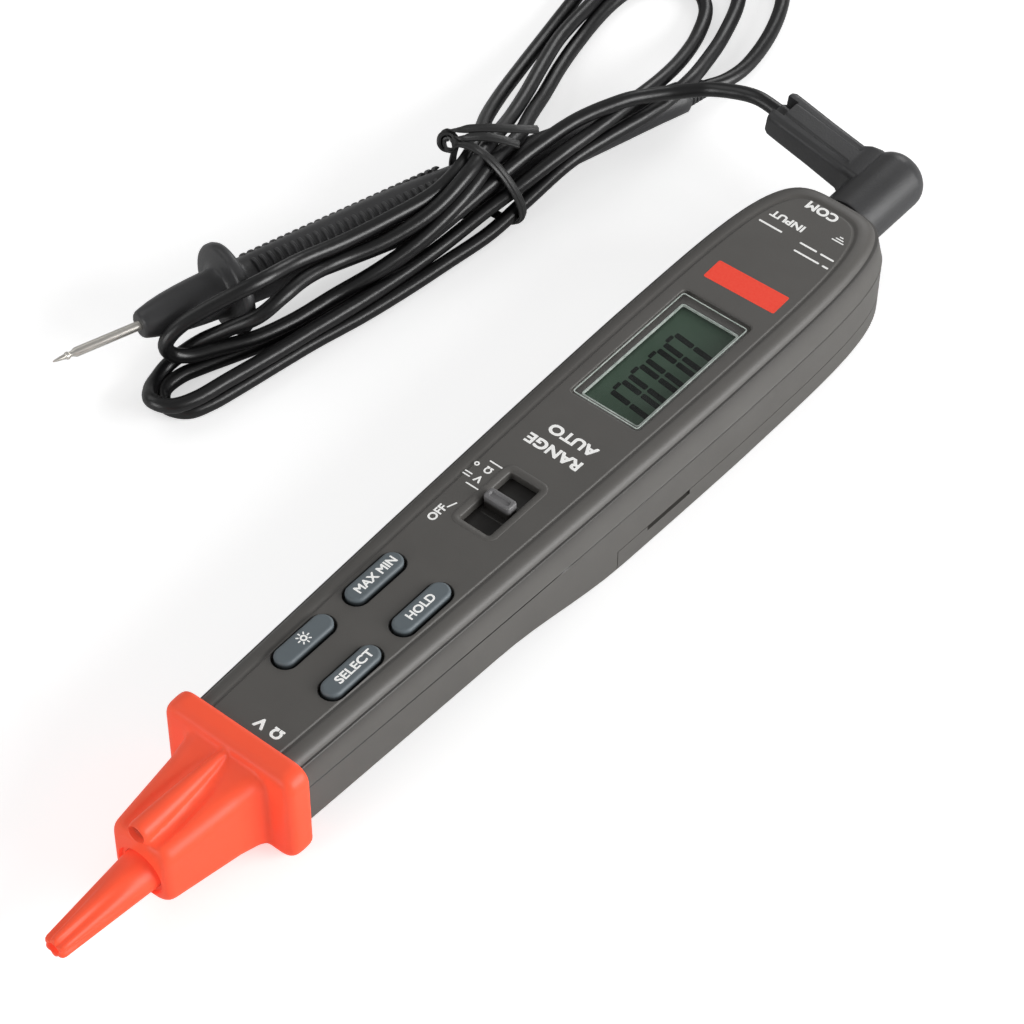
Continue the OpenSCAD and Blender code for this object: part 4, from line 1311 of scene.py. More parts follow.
def build_grip_ribs(sizes, name, lean):
    """A row of ribs along the grip, whose middle leans from straight up towards +Y."""
    up = Vector(Z_AXIS)
    up = (up - PROBE_AXIS * up.dot(PROBE_AXIS)).normalized()
    side = up.cross(PROBE_AXIS)
    if side.y < 0:
        side = -side
    out = up * math.cos(lean) + side * math.sin(lean)
    across = out.cross(PROBE_AXIS)
    rings = []
    for i in range(RIB_SIDES + 1):
        share = 2 * i / RIB_SIDES - 1
        turn = math.radians(RIB_HALF_ARC * share)
        fade = math.cos(math.radians(90 * abs(share) / 1.05)) ** 0.35
        aim = out * math.cos(turn) + across * math.sin(turn)
        rings.append([PROBE_FRONT + PROBE_AXIS * (RIB_START + u)
                      + aim * (RIB_RADIUS + v * fade) for u, v in RIB_SECTION])
    ribs = loft(name, rings)
    growth_named("row").grow(ribs, "plug_black", Count=sizes.grip_ribs,
                             Step=(PROBE_AXIS + out * RIB_CLIMB) * RIB_STEP * MM)
    shade(ribs, 40, False)
    dress(ribs, "meter", "plug_black")


TIE_LOOP = [(73.3, 67.6, 13.4), (72.9, 65.8, 15.8), (72.6, 61.6, 17.15), (73.1, 58.2, 15.5),
            (74.0, 55.4, 12.0), (74.8, 53.2, 7.5), (75.0, 52.6, 3.6), (74.7, 55.0, 1.0),
            (74.4, 61.0, 0.7), (74.1, 66.4, 1.45), (73.8, 68.6, 5.0), (73.5, 68.5, 9.5)]
TIE_TAILS = [[(72.6, 69.6, 14.2), (73.4, 70.2, 15.1), (75.4, 68.0, 16.3), (78.2, 64.2, 17.0),
              (81.6, 60.6, 16.5), (85.6, 57.6, 15.2)],
             [(72.9, 68.0, 14.6), (73.8, 66.4, 16.2), (75.8, 63.0, 17.2), (78.0, 60.2, 16.6),
              (80.4, 58.0, 15.0)]]
TIE_KNOT = [(72.9, 68.3, 12.6), (72.2, 69.6, 12.9), (72.1, 70.4, 14.0), (72.9, 70.6, 15.1),
            (74.0, 69.6, 15.5), (74.2, 68.2, 14.9), (73.4, 67.4, 13.8), (72.4, 68.0, 13.2),
            (72.4, 69.3, 13.4), (73.1, 70.0, 14.3), (73.7, 69.2, 14.9), (73.6, 68.2, 14.4)]
TIE_KNOT_MIDDLE = Vector((73.2, 69, 14.0))
TIE_HALF = 0.95
# Half of the strip's section: a flat band with a wire ridge
TIE_SECTION = [(TIE_HALF, -0.2), (TIE_HALF, 0.12), (TIE_HALF - 0.15, 0.2), (0.42, 0.2),
               (0.22, 0.46)]


def build_tie():
    """Twist tie: a flat strip with a wire ridge, round the bundle and twisted at its side."""
    section = [(-TIE_HALF, -0.2)] + TIE_SECTION + [(-u, v) for u, v in TIE_SECTION[:0:-1]]
    loop = smooth_path(TIE_LOOP + [TIE_LOOP[0]], 8)[:-1]
    centre = sum(loop, Vector()) / len(loop)

    def from_middle(point):
        away = point - centre
        return Vector((0, away.y, away.z))

    def from_knot(point):
        return point - TIE_KNOT_MIDDLE

    pieces = [strip("band", loop, from_middle, section, closed=True)]
    for tail in TIE_TAILS:
        path = smooth_path(tail, 8)

        def rising(point, path=path):
            share = (point - path[0]).length / (path[-1] - path[0]).length
            turn = math.radians(130 * max(0, 1 - 3.5 * share))
            return Vector((math.sin(turn) * 0.7, -0.15, math.cos(turn)))

        pieces.append(strip("tail", path, rising, section))
    narrow = [(u * 0.8, v * 1.2) for u, v in section]
    pieces.append(strip("knot", smooth_path(TIE_KNOT, 6), from_knot, narrow))
    tie = merge("twist_tie", pieces)
    shade(tie, 50, False)
    return dress(tie, "meter", "cable_black", "tie_plastic", ("cable_tie",))


def body_half(x, wide, neck):
    """Half-width of the body: it tapers from its widest place to the neck."""
    share = max(0.0, (WIDEST_X - x) / (WIDEST_X - NECK_X)) ** TAPER_POWER
    return wide - (wide - neck) * share


def body_ring(wide, neck, end_x, height):
    """Points round the body at a height, which is a number or goes with x."""
    half = []
    for i in range(SIDE_STEPS):
        x = NECK_X + (WIDEST_X - NECK_X) * i / SIDE_STEPS
        half.append((x, body_half(x, wide, neck)))
    for i in range(TAIL_STEPS + 1):
        share = i / TAIL_STEPS
        turn = math.pi / 2 * share ** 2 / (share ** 2 + (1 - share) ** 2)
        x = WIDEST_X + (end_x - WIDEST_X) * math.sin(turn) ** (2 / TAIL_POWER)
        y = wide * max(0.0, math.cos(turn)) ** (2 / TAIL_POWER)
        half.append((x, y if i < TAIL_STEPS else 0.0))
    outline = half + [(x, -y) for x, y in reversed(half[:-1])]
    return [(x, y, height(x) if callable(height) else height) for x, y in outline]


def body_skin(name, rings):
    """A skin through body rings, with ends that are filled in strips across the body."""
    size = len(rings[0])
    half = size // 2
    ends = []
    for start in (0, (len(rings) - 1) * size):
        for k in range(half - 1):
            far = start + size - 1 - k
            ends.append((start + k, start + k + 1, far - 1, far))
        ends.append((start + half - 1, start + half, start + half + 1))
    return skin(name, rings, ends)


def upper_ring(side_in, z):
    """One ring of the upper shell. The neck and the tail step in less than the sides."""
    neck_in = side_in - 0.8 * min(1.0, side_in / WALL_IN)
    end_in = 0.3 * min(1.0, side_in / WALL_IN) + 1.12 * max(0.0, side_in - WALL_IN)
    return body_ring(BODY_HALF - side_in, NECK_HALF - neck_in, TAIL_X - end_in, z)


def inner_skin(name, side_in, z0, z1):
    """The space inside a shell, which runs out at the neck."""
    end_in = 2.4
    rings = [body_ring(BODY_HALF - side_in, NECK_HALF - side_in + 0.8, TAIL_X - end_in, z)
             for z in (z0, z1)]
    return body_skin(name, [[(x - 1.0 if x < NECK_X + 0.5 else x, y, z) for x, y, z in ring]
                            for ring in rings])


# Inset and depth under the face: crease, bevel and the groove round the flat face
UPPER_LEVELS = [
    (1.5, 1.98), (1.68, 1.84), (1.88, 1.82), (2.02, 1.78), (2.1, 1.6), (2.22, 1.28),
    (2.48, 0.9), (2.86, 0.56), (3.4, 0.28), (4.0, 0.12), (4.6, 0.05), (4.9, 0.1),
    (5.1, 0.24), (5.3, 0.3), (5.5, 0.26), (5.66, 0.08), (5.82, 0)]
KEY_NODES = ("key_light", "key_select", "key_max_min", "key_hold")


def build_upper_shell(sizes):
    """Upper shell: side wall, step, soft bevel and the flat face with its openings."""
    levels = [(sizes.seam / MM, SEAM_Z + 0.02), (0.02, SEAM_Z + 0.26)]
    levels += [(WALL_IN * t, SEAM_Z + WALL_RISE * t) for t in (0.1, 0.3, 0.5, 0.7, 0.85)]
    levels += [(inset, DECK_Z - depth) for inset, depth in UPPER_LEVELS]
    shell = body_skin("upper_case", [upper_ring(inset, z) for inset, z in levels])
    combine(shell, inner_skin("inside", 3.1, SEAM_Z - 1, ROOF_Z))
    foot = [(ROOF_Z - 1, 0)]
    for node in KEY_NODES:
        centre = middle(node)
        levels = foot + flare(DECK_Z, sizes.well_round / MM)
        combine(shell, stack("well", *WELL_HALF, 2.5, levels, (centre.x, centre.y)))
    slot_at = (middle("selector_knob").x, 0)
    raised = DECK_Z + SLOT_LIP
    lip = [(DECK_Z - 0.4, 0), (DECK_Z - 0.02, 0), (DECK_Z + 0.05, 0.06), (DECK_Z + 0.1, 0.2),
           (raised, 0.42)]
    combine(shell, stack("lip", *SLOT_LIP_HALF, 1.9, lip, slot_at), "UNION")
    levels = foot + flare(raised, sizes.slot_round / MM, 0.55, 7)
    combine(shell, stack("slot", *SLOT_HALF, 0.5, levels, slot_at))
    lens_x = middle("display_lens").x
    combine(shell, block("window", *WINDOW_HALF, 0.5, ROOF_Z - 1, DECK_Z + 1, (lens_x, 0)))
    recess = [(DECK_Z - 1.2, 0)] + flare(DECK_Z, 0.35)
    combine(shell, stack("recess", *RECESS_HALF, 0.9, recess, (lens_x + RECESS_SHIFT, 0)))
    combine(shell, rod("socket_hole", 82, TAIL_X + 3, SOCKET_HOLE, SOCKET_Z))
    shade(shell, 32)
    dress(shell, "meter", "case_plastic", replaces=("upper_shell",))


# Inset and height of the underside's rings, rounded towards the table
LOWER_LEVELS = [
    (1.9, 0.0), (1.5, 0.03), (1.15, 0.14), (0.86, 0.34), (0.62, 0.62), (0.46, 1.0),
    (0.36, 1.5), (0.3, 2.4), (0.26, 3.8), (0.22, 5.6), (0.18, 7.4), (0.12, 10),
    (0.03, SEAM_Z - 0.26)]
RAMP_X = 22
RAMP_L = 32
COVER_GAP = 0.15
COVER_HALF = (COVER_HIGH.x - 1.0 - COVER_LOW.x) / 2
COVER_MID = (COVER_LOW.x + COVER_HIGH.x - 1.0) / 2
# Half length, half width, corner, lowest and highest z, and middle of each hollow
FRONT_ROOM = (40, 30, 0.3, 0, SEAM_Z + 2, (-21.8, 0))
CELL_ROOM = (25.8, 11, 0.4, -2, 12.5, (51.7, 0))
COVER_TRAY = (33, 11, 1.2, 1.5, 9, (53, 0))
FINGER_NOTCH = (5.75, 6, 0.5, 4.6, 9, (COVER_LOW.x + 13.6, -17.8))
BARE_FIELD = (22, 7.5, 1.2, -1, 0.2, (COVER_MID, 0))


def front_share(x):
    """0 at the battery end of the underside, 1 where it is raised towards the neck."""
    share = min(1.0, max(0.0, (RAMP_X - x) / RAMP_L))
    return share * share * (3 - 2 * share)


def lower_form(name, seam):
    """The outside of the lower shell with its cover."""
    rings = []
    for inset, z in LOWER_LEVELS + [(seam, SEAM_Z - 0.02)]:
        def height(x, z=z):
            base = NECK_Z * front_share(x)
            return base + z * (SEAM_Z - base) / SEAM_Z
        rings.append(body_ring(BODY_HALF - inset, NECK_HALF - inset * 0.55,
                               TAIL_X - inset * 0.96, height))
    return body_skin(name, rings)


def build_lower_shell(sizes):
    """Lower shell and the battery cover, cut from the same form along the cover's seam."""
    seam = sizes.seam / MM
    shell = lower_form("lower_case", seam)
    cover = lower_form("battery_door", seam)
    at = (COVER_MID, 0)
    combine(shell, block("bay", COVER_HALF + COVER_GAP, 30, 0.3, -2, COVER_HIGH.z, at))
    lid = block("lid", COVER_HALF, 30, 0.3, -2, COVER_HIGH.z - 0.14, at)
    combine(cover, lid, "INTERSECT")
    inside = inner_skin("inside", 2.4, 5.8, SEAM_Z + 1)
    combine(shell, combine(inside, block("front", *FRONT_ROOM), "INTERSECT"))
    combine(shell, block("cells", *CELL_ROOM))
    combine(cover, block("tray", *COVER_TRAY))
    combine(cover, block("notch", *FINGER_NOTCH))
    combine(cover, turned("head", [(-3, 2.35), (0.3, 2.1), (1.9, 2.1)],
                          (middle("cover_screw").x, 0, 0), Z_AXIS, 32))
    combine(shell, rod("socket_hole", 82, TAIL_X + 3, SOCKET_HOLE, SOCKET_Z))
    for side in (-1, 1):
        combine(shell, turned("hole", [(-1, SCREW_HOLE), (7.3, SCREW_HOLE)],
                              (SCREW_PLACE[0], side * SCREW_PLACE[1], 0), Z_AXIS, 32))
    combine(cover, block("bare_field", *BARE_FIELD))
    for piece, node in ((cover, "battery_cover"), (shell, "lower_shell")):
        soften(piece, 0.16, 2, 60)
        shade(piece, 32)
        dress(piece, "meter", "case_plastic", replaces=(node,))


def section_ring(x, half_y, z0, z1, corner):
    """A rounded rectangle across X."""
    middle_z = (z0 + z1) / 2
    return [(x, u, middle_z + v) for u, v in rounded(half_y, (z1 - z0) / 2, corner, 10)]


def round_ring(share, y, z, radius):
    """A circle across X at a share of the nose's length."""
    return [(NOSE_X0 + NOSE_L * share, y + radius * math.cos(t), z + radius * math.sin(t))
            for t in turns(24)]


WAIST_SIDES = 0.055
WAIST_TOP = 0.05


def waisted(ring):
    """Draws the sides of a section in between its corners."""
    half_y = max(y for x, y, z in ring)
    top = max(z for x, y, z in ring)
    low = min(z for x, y, z in ring)
    mid, half_z = (top + low) / 2, (top - low) / 2
    return [(x, y * (1 - WAIST_SIDES * (1 - ((z - mid) / half_z) ** 2)),
             mid + (z - mid) * (1 - WAIST_TOP * (1 - (y / half_y) ** 2))) for x, y, z in ring]


# Half width, lowest and highest z of the nose at its front and at the flange, and its corners
NOSE_FRONT = Vector((6.1, 3.5, 17.2))
NOSE_BACK = Vector((8.3, 1.3, 18.5))
NOSE_CORNER = 2.9
FLANGE_HALF = 14.7
FLANGE_TOP = 21.3
FLANGE_CORNER = 4
# Place behind the nose's front and inset there
NOSE_LEVELS = [
    (0.0, 1.2), (0.15, 0.75), (0.45, 0.36), (0.95, 0.1), (1.6, 0.0), (NOSE_L * 0.4, 0.0),
    (NOSE_L * 0.75, 0.0), (NOSE_L * 0.93, -0.25), (NOSE_L + 1.0, -0.9)]
# Place behind the flange's front and inset there
FLANGE_LEVELS = [
    (0.0, 2.0), (0.15, 1.2), (0.5, 0.6), (1.1, 0.2), (1.8, 0.05), (2.6, 0.02), (3.3, 0.02),
    (4.0, 0.04), (4.5, 0.12), (4.8, 0.3), (FLANGE_L, 0.7)]
# Share of the nose's length, radius of the torch's rib and its top over the lamp
TORCH_RIB = [
    (0.0, 1.85, 1.8), (0.012, 2.0, 1.95), (0.04, 2.1, 2.1), (0.3, 1.95, 2.05),
    (0.6, 1.6, 1.95), (0.85, 1.15, 1.75), (1.0, 0.7, 1.45)]
# Share of the nose's length, half width of the rib's foot and its top over the lamp
TORCH_FOOT = [(0.0, 2.0, 0.0), (0.6, 1.5, 0.4), (1.0, 0.6, 0.8)]
# Share of the nose's length, place and radius of the valley at each side of the rib
VALLEY = [(-0.05, 3.3, 18.1, 1.25), (0.3, 3.3, 18.3, 1.25), (0.65, 2.9, 18.75, 1.1),
          (0.93, 2.2, 19.3, 0.7)]
MOUTH = [(-1, 5.2), (-0.1, 4.85), (0.25, 4.65), (0.7, 4.6)]
TORCH_HOLE = [(-1, 1.95), (0.1, 1.7), (0.5, 1.6), (7, 1.6)]
# Start, end and radius of each bore of the nose
FRONT_BORE = (NOSE_X0 - 1, NOSE_X0 + 3, 4.0)
CHAMBER = (NOSE_X0 + 1.3, -59.2, 4.8)
HOLDER_BORE = (-60, -53, 2.45)
NOSE_VOXEL = 0.28 * MM


def build_nose():
    """Nose guard: flange, tapered nose and torch rib, blended like a soft moulding."""
    rings = []
    for place, inset in NOSE_LEVELS:
        half, low, high = NOSE_FRONT.lerp(NOSE_BACK, min(1.0, place / NOSE_L))
        rings.append(section_ring(NOSE_X0 + place, half - inset, low + inset, high - inset,
                                  NOSE_CORNER))
    flange = [waisted(section_ring(FLANGE_X0 + place, FLANGE_HALF - inset, inset,
                                   FLANGE_TOP - inset, FLANGE_CORNER - inset))
              for place, inset in FLANGE_LEVELS]
    spigot = [section_ring(x, 8.8, 6, 18, 2) for x in (NECK_X - 1, NECK_X + 4)]
    rib = [round_ring(share, 0, LAMP_Z + rise - radius, radius)
           for share, radius, rise in TORCH_RIB]
    foot = [section_ring(NOSE_X0 + NOSE_L * share + 0.2, half, 15, LAMP_Z + top, 0.3)
            for share, half, top in TORCH_FOOT]
    guard = merge("nose_cap", [loft("solid", solid) for solid in
                               (rings, flange, spigot, rib, foot)])
    modified(guard, "REMESH", mode="VOXEL", voxel_size=NOSE_VOXEL)
    for side in (-1, 1):
        combine(guard, loft("valley", [round_ring(share, side * y, z, radius)
                                       for share, y, z, radius in VALLEY]))
    modified(guard, "REMESH", mode="VOXEL", voxel_size=NOSE_VOXEL)
    modified(guard, "SMOOTH", factor=0.5, iterations=7)
    combine(guard, rod("bore", *FRONT_BORE, TIP_Z))
    combine(guard, turned("mouth", MOUTH, (NOSE_X0, 0, TIP_Z), X_AXIS, 64))
    combine(guard, rod("chamber", *CHAMBER, TIP_Z))
    combine(guard, rod("holder_bore", *HOLDER_BORE, TIP_Z))
    combine(guard, turned("torch", TORCH_HOLE, (NOSE_X0, 0, LAMP_Z), X_AXIS, 40))
    shade(guard, 40, False)
    dress(guard, "meter", "red_plastic", replaces=("nose_guard",))


SLEEVE_STEPS = 96
SPRING_WIRE = 0.3
SLEEVE_TRAVEL = 14.0


def build_sleeve(sizes):
    """Sprung sleeve: a cone with flutes that deepen towards its end, and its spring."""
    tip_x = span("tip_sleeve")[0].x
    end_x = span("tip_sleeve")[1].x
    # Place along X, radius and share of the flutes' depth, down the outside and back inside
    profile = [(tip_x, 1.55, 0.6), (tip_x + 0.04, 1.9, 0.85), (tip_x + 0.3, 2.18, 1.0),
               (tip_x + 0.8, 2.36, 1.0)]
    cone_l = NOSE_X0 - 0.5 - tip_x - 0.8
    for i in range(1, 19):
        share = i / 18
        profile.append((tip_x + 0.8 + cone_l * share, 2.36 + 1.44 * share,
                        max(0.0, 1 - share / 0.8) ** 0.7))
    profile += [(end_x - 3.05, 3.8, 0), (end_x - 3.0, 4.55, 0), (end_x - 2.85, 4.6, 0),
                (end_x - 0.15, 4.6, 0), (end_x, 4.45, 0), (end_x, 1.75, 0),
                (tip_x + 6, 1.75, 0), (tip_x + 5.6, 1.15, 0), (tip_x + 0.25, 1.15, 0),
                (tip_x, 1.3, 0)]
    rings = []
    for x, radius, share in profile:
        ring = []
        for turn in turns(SLEEVE_STEPS):
            wave = 0.5 + 0.5 * math.cos(sizes.flutes * turn)
            r = radius - sizes.flute_depth / MM * share * wave ** 1.6
            ring.append((x, r * math.cos(turn), TIP_Z + r * math.sin(turn)))
        rings.append(ring)
    sleeve = skin("tip_guard", rings, closed=True)
    shade(sleeve, 40, False)
    dress(sleeve, "tip_sleeve", "red_plastic", replaces=("tip_sleeve",))
    low, high = span("sleeve_spring")
    free = high.x - low.x
    spring = new_piece("tip_spring", [(0, 0, 0)], [])
    growth_named("spring").grow(
        spring, "spring_brass", Radius=(high.z - low.z - 2 * SPRING_WIRE) / 2 * MM,
        Length=(free - 2 * SPRING_WIRE) * MM, Turns=float(sizes.spring_turns),
        Wire=SPRING_WIRE * MM)
    placed(spring, (low.x + SPRING_WIRE, 0, TIP_Z))
    dress(spring, "meter", "nickel", replaces=("sleeve_spring",))
    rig.squash(spring, "sleeve_push", axis=X_AXIS, anchor=Vector((high.x, 0, TIP_Z)) * MM,
              keep=(free - SLEEVE_TRAVEL) / free)


# The words on the keys and the length of each
KEY_WORDS = {"key_select": ("SELECT", 8.6), "key_max_min": ("MAX MIN", 9.6),
             "key_hold": ("HOLD", 6.4)}
KEY_HALF = (6.52, 2.0)
KEY_LIP_HALF = (7.4, 2.9)
KEY_HEIGHT = 4
SUN_RING = (0.66, 0.34)
SUN_RAY = (0.28, 0.13, 0.08)
SUN_REACH = 1.08
SUN_RAYS = 8


def build_keys(sizes):
    """Four keys with rounded ends and their white print."""
    for node in KEY_NODES:
        centre = middle(node)
        low, high = span(node)
        at = (centre.x, centre.y)
        lip_z = high.z - KEY_HEIGHT
        levels = [(lip_z, 0), (high.z - 0.6, 0)] + round_top(high.z, sizes.key_round / MM)
        cap = stack(node + "_cap", *KEY_HALF, 2.0, levels, at)
        combine(cap, block("lip", *KEY_LIP_HALF, 2.9, lip_z, lip_z + 1, at), "UNION")
        stem = turned("stem", [(low.z, 1.1), (low.z + 0.1, 1.2), (lip_z + 0.5, 1.2)],
                      (*at, 0), Z_AXIS, 24)
        combine(cap, stem, "UNION")
        shade(cap, 38)
        dress(cap, node, "key_plastic", replaces=(node,))
        top = (*at, high.z)
        if node in KEY_WORDS:
            label = build_key_words(node + "_print", *KEY_WORDS[node], top)
        else:
            label = build_sun(node + "_print", top)
        dress(label, node, "pale_plastic", "white_ink")


def build_key_words(name, words, long, at):
    """A key's words, stretched to their length."""
    label = lettering(name, words, 1.6, at)
    across = [v.co.x for v in label.data.vertices]
    to_middle = Matrix.Translation(Vector(at) * MM)
    squeeze = Matrix.Diagonal((long * MM / (max(across) - min(across)), 1, 1, 1))
    label.data.transform(to_middle @ squeeze @ to_middle.inverted())
    return label


def build_sun(name, at):
    """The light key's sign: a ring with rays round it."""
    ring = ring_mark("ring", *SUN_RING, (0, 0, 0))
    ray = mark(name, *SUN_RAY, (SUN_REACH, 0, 0))
    growth_named("round").grow(ray, "white_ink", Count=SUN_RAYS)
    return placed(merge(name, [ray, ring]), at)


# Half length, half width and corner of the knob's foot, its ridge and the dish in the ridge
KNOB_FOOT = (2.5, 3.15, 0.5)
KNOB_RIDGE = (1.25, 2.9, 0.6)
KNOB_DISH = (0.66, 2.2, 0.5)


def build_selector():
    """The selector: a carrier under the slot and a ridged, dished knob."""
    low, high = span("selector_knob")
    half = (high.x - low.x) / 2
    at = (middle("selector_knob").x, 0)
    levels = round_bottom(low.z, 0.15) + round_top(low.z + 1.1, 0.15, 2)
    carrier = stack("selector_slide", half, 5.0, 0.6, levels, at)
    for size, top in ((KNOB_FOOT, ROOF_Z), (KNOB_RIDGE, high.z)):
        levels = [(low.z, 0)] + round_top(top, 0.35)
        combine(carrier, stack("knob", *size, levels, at), "UNION")
    levels = [(high.z - 0.34, 0.2), (high.z - 0.16, 0.04), (high.z + 0.5, -0.3)]
    combine(carrier, stack("dish", *KNOB_DISH, levels, at))
    shade(carrier, 35)
    dress(carrier, "selector", "knob_plastic", replaces=("selector_knob",))


RIM_HALF = (14.45, 6.45)
RIM_HOLE_HALF = (14.12, 6.12)
EDGE_IN = 0.22
EDGE_WIDE = 0.2


def build_display():
    """Clear window with painted highlight lines round its edges, and the display with four figures."""
    low, high = span("display_lens")
    half_x = (high.x - low.x) / 2
    half_y = (high.y - low.y) / 2
    at = (middle("display_lens").x, 0)
    levels = [(low.z + 0.1, 0)] + round_top(high.z, 0.4)
    lens = stack("display_window", half_x, half_y, 0.8, levels, at)
    shade(lens, 35)
    dress(lens, "meter", "clear_window", replaces=("display_lens",))
    # A pale ring under the lens and a thin ring on its top edge carry the painted highlight of the window's edges.
    levels = [(low.z - 0.5, 0), (low.z - 0.1, 0), (low.z - 0.02, 0.08)]
    rim = stack("window_rim", *RIM_HALF, 0.6, levels, at)
    levels = [(low.z - 1, 0), (low.z - 0.1, 0), (low.z + 1, -0.3)]
    combine(rim, stack("hole", *RIM_HOLE_HALF, 0.4, levels, at))
    levels = [(high.z - 0.1, 0), (high.z + 0.01, 0.02)]
    edge = stack("window_edge", half_x - EDGE_IN, half_y - EDGE_IN, 0.6, levels, at)
    hole_in = EDGE_IN + EDGE_WIDE
    combine(edge, block("hole", half_x - hole_in, half_y - hole_in, 0.4, high.z - 1,
                        high.z + 1, at))
    rim = merge("window_rim", [rim, edge])
    shade(rim, 35)
    dress(rim, "meter", "clear_window", "window_edge")
    build_digits(span("display_glass")[1].z)


DIGITS = 4
DIGIT_PITCH = 4.95
DIGIT_X = 41.15
DIGIT_LOW, DIGIT_HIGH = -5.9, 3.0
DIGIT_WIDE = 3.15
DIGIT_LEAN = 0.11
STROKE_HALF = 0.6
STROKE_GAP = 0.36
STROKE_THICK = 0.02


def build_digits(z):
    """Noughts of slanted strokes, read along X."""
    mid = (DIGIT_LOW + DIGIT_HIGH) / 2
    tall = DIGIT_HIGH - DIGIT_LOW
    long_half = (tall - STROKE_GAP) / 4
    strokes = [(side * DIGIT_WIDE / 2, mid + end * (STROKE_GAP / 2 + long_half), STROKE_HALF,
                long_half) for side in (-1, 1) for end in (-1, 1)]
    strokes += [(0, mid + end * (tall + 0.3) / 2, DIGIT_WIDE / 2 - 0.66, 0.4)
                for end in (-1, 1)]
    pieces = []
    for x, y, half_x, half_y in strokes:
        tip = min(half_x, half_y) * 0.35
        outline = [(half_x, half_y - tip), (half_x - tip, half_y), (tip - half_x, half_y),
                   (-half_x, half_y - tip), (-half_x, tip - half_y), (tip - half_x, -half_y),
                   (half_x - tip, -half_y), (half_x, tip - half_y)]
        pieces.append(loft("stroke", [
            [(DIGIT_X + x + u + (y + v - mid) * DIGIT_LEAN, y + v, z + lift)
             for u, v in outline] for lift in (0.01, 0.01 + STROKE_THICK)]))
    digit = merge("display_figures", pieces)
    growth_named("row").grow(digit, "display_ink", Count=DIGITS,
                             Step=(DIGIT_PITCH * MM, 0, 0))
    dress(digit, "meter", "display_panel", "display_ink")


PRINT_Z = DECK_Z + 0.003
# Words on the face: height, place, degrees, share of width and weight
FACE_WORDS = [
    ("OFF", 1.6, (-2.7, 6.9), 0, 1.0, 0.035), ("COM", 1.9, (97.8, 0), 90, 1.1, 0.05),
    ("INPUT", 1.55, (91.9, 4.2), 90, 1.15, 0.05), ("V", 2.0, (-55.4, -1.0), 90, 1.1, 0.05),
    ("Ω", 2.0, (-55.4, -4.4), 90, 1.1, 0.05), ("AUTO", 2.2, (25.2, 0.2), 90, 1.15, 0.05),
    ("RANGE", 2.2, (21.0, 0.2), 90, 1.15, 0.05), ("V", 1.5, (7.9, 6.4), 90, 1.0, 0.035),
    ("Ω", 1.5, (10.5, 6.4), 90, 1.0, 0.035)]
# Strokes on the face: half length, half width, corner, place and degrees
FACE_MARKS = [
    (1.0, 0.14, 0.1, (0.5, 6.0), -20), (0.14, 1.4, 0.1, (6.0, 6.2), 0),
    (0.14, 1.4, 0.1, (12.4, 6.2), 0), (0.13, 0.8, 0.1, (7.4, 8.7), 0),
    (0.13, 0.8, 0.1, (8.1, 8.7), 0), (0.2, 2.6, 0.15, (88.9, 5.6), 0),
    (0.2, 1.9, 0.15, (88.9, -3.0), 0), (0.2, 1.5, 0.15, (88.9, -7.2), 0),
    (0.2, 2.8, 0.15, (86.7, -4.2), 0), (0.2, 0.65, 0.15, (86.7, -8.4), 0),
    (0.13, 1.3, 0.1, (93.4, -6.2), 0), (0.13, 0.85, 0.1, (94.02, -6.2), 0),
    (0.13, 0.4, 0.1, (94.64, -6.2), 0)]
DOT = (0.5, 0.24, (10.5, 8.9, PRINT_Z))
RED_FIELD = (2.5, 7.75, 0.35, (73.8, -0.55, PRINT_Z), 1.5)


def build_prints():
    """Print on the face: plain words for places, signs and bars."""
    white = [lettering("word", words, height, (*at, PRINT_Z), *style)
             for words, height, at, *style in FACE_WORDS]
    white += [mark("stroke", half_x, half_y, corner, (*at, PRINT_Z), degrees)
              for half_x, half_y, corner, at, degrees in FACE_MARKS]
    white.append(ring_mark("dot", *DOT))
    dress(merge("face_print", white), "meter", "pale_plastic", "white_ink")
    field = mark("red_field", *RED_FIELD)
    dress(field, "meter", "red_plastic", "red_ink")


INNER_FINISHES = {
    "screw_steel": ("cover_screw", "case_screws", "board_screws"),
    "nickel": ("meter_needle", "cell_springs", "cell_plates", "crystal_can", "plug_pin"),
    "pale_plastic": ("needle_holder", "display_holder", "key_switches", "board_parts"),
    "spring_brass": ("tip_contact", "selector_wiper", "com_contact"),
    "clear_window": ("torch_lamp",),
    "display_panel": ("display_glass",),
    "strip_rubber": ("contact_strips",),
    "board_laminate": ("circuit_board",),
    "cell_wrap": ("cell_a", "cell_b"),
    "plug_black": ("com_socket", "buzzer", "meter_chip")}


def build_inner_parts():
    """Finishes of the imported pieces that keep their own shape."""
    for finish, names in INNER_FINISHES.items():
        for name in names:
            materials = frame["nodes"][name].data.materials
            materials.clear()
            materials.append(finish_named(finish))


class PENMETER_OT_stage(bpy.types.Operator):
    """Sets up the camera, the floor and the light"""

    bl_idname = "penmeter.stage"
    bl_label = "Stage"

    def execute(self, context):
        build_stage(context.scene.penmeter_stage)
        return {"FINISHED"}


class PENMETER_OT_lead(bpy.types.Operator):
    """Builds the test lead with its plug, its probe and its tie"""

    bl_idname = "penmeter.lead"
    bl_label = "Test lead"

    def execute(self, context):
        sizes = context.scene.penmeter_sizes
        lead, line, long = build_lead(sizes)
        plug = build_plug()
        handle, pin, relief = build_probe(sizes)
        tie = build_tie()
        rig.cord(lead, exit=line[0], length=round(long, 3), diameter=sizes.cable,
                far_end="tool", stiffness="limp", lay="coiled", path=line,
                with_pieces=[plug, handle, pin, relief, tie, "probe_ribs_1", "probe_ribs_2",
                             "plug_pin"])
        return {"FINISHED"}


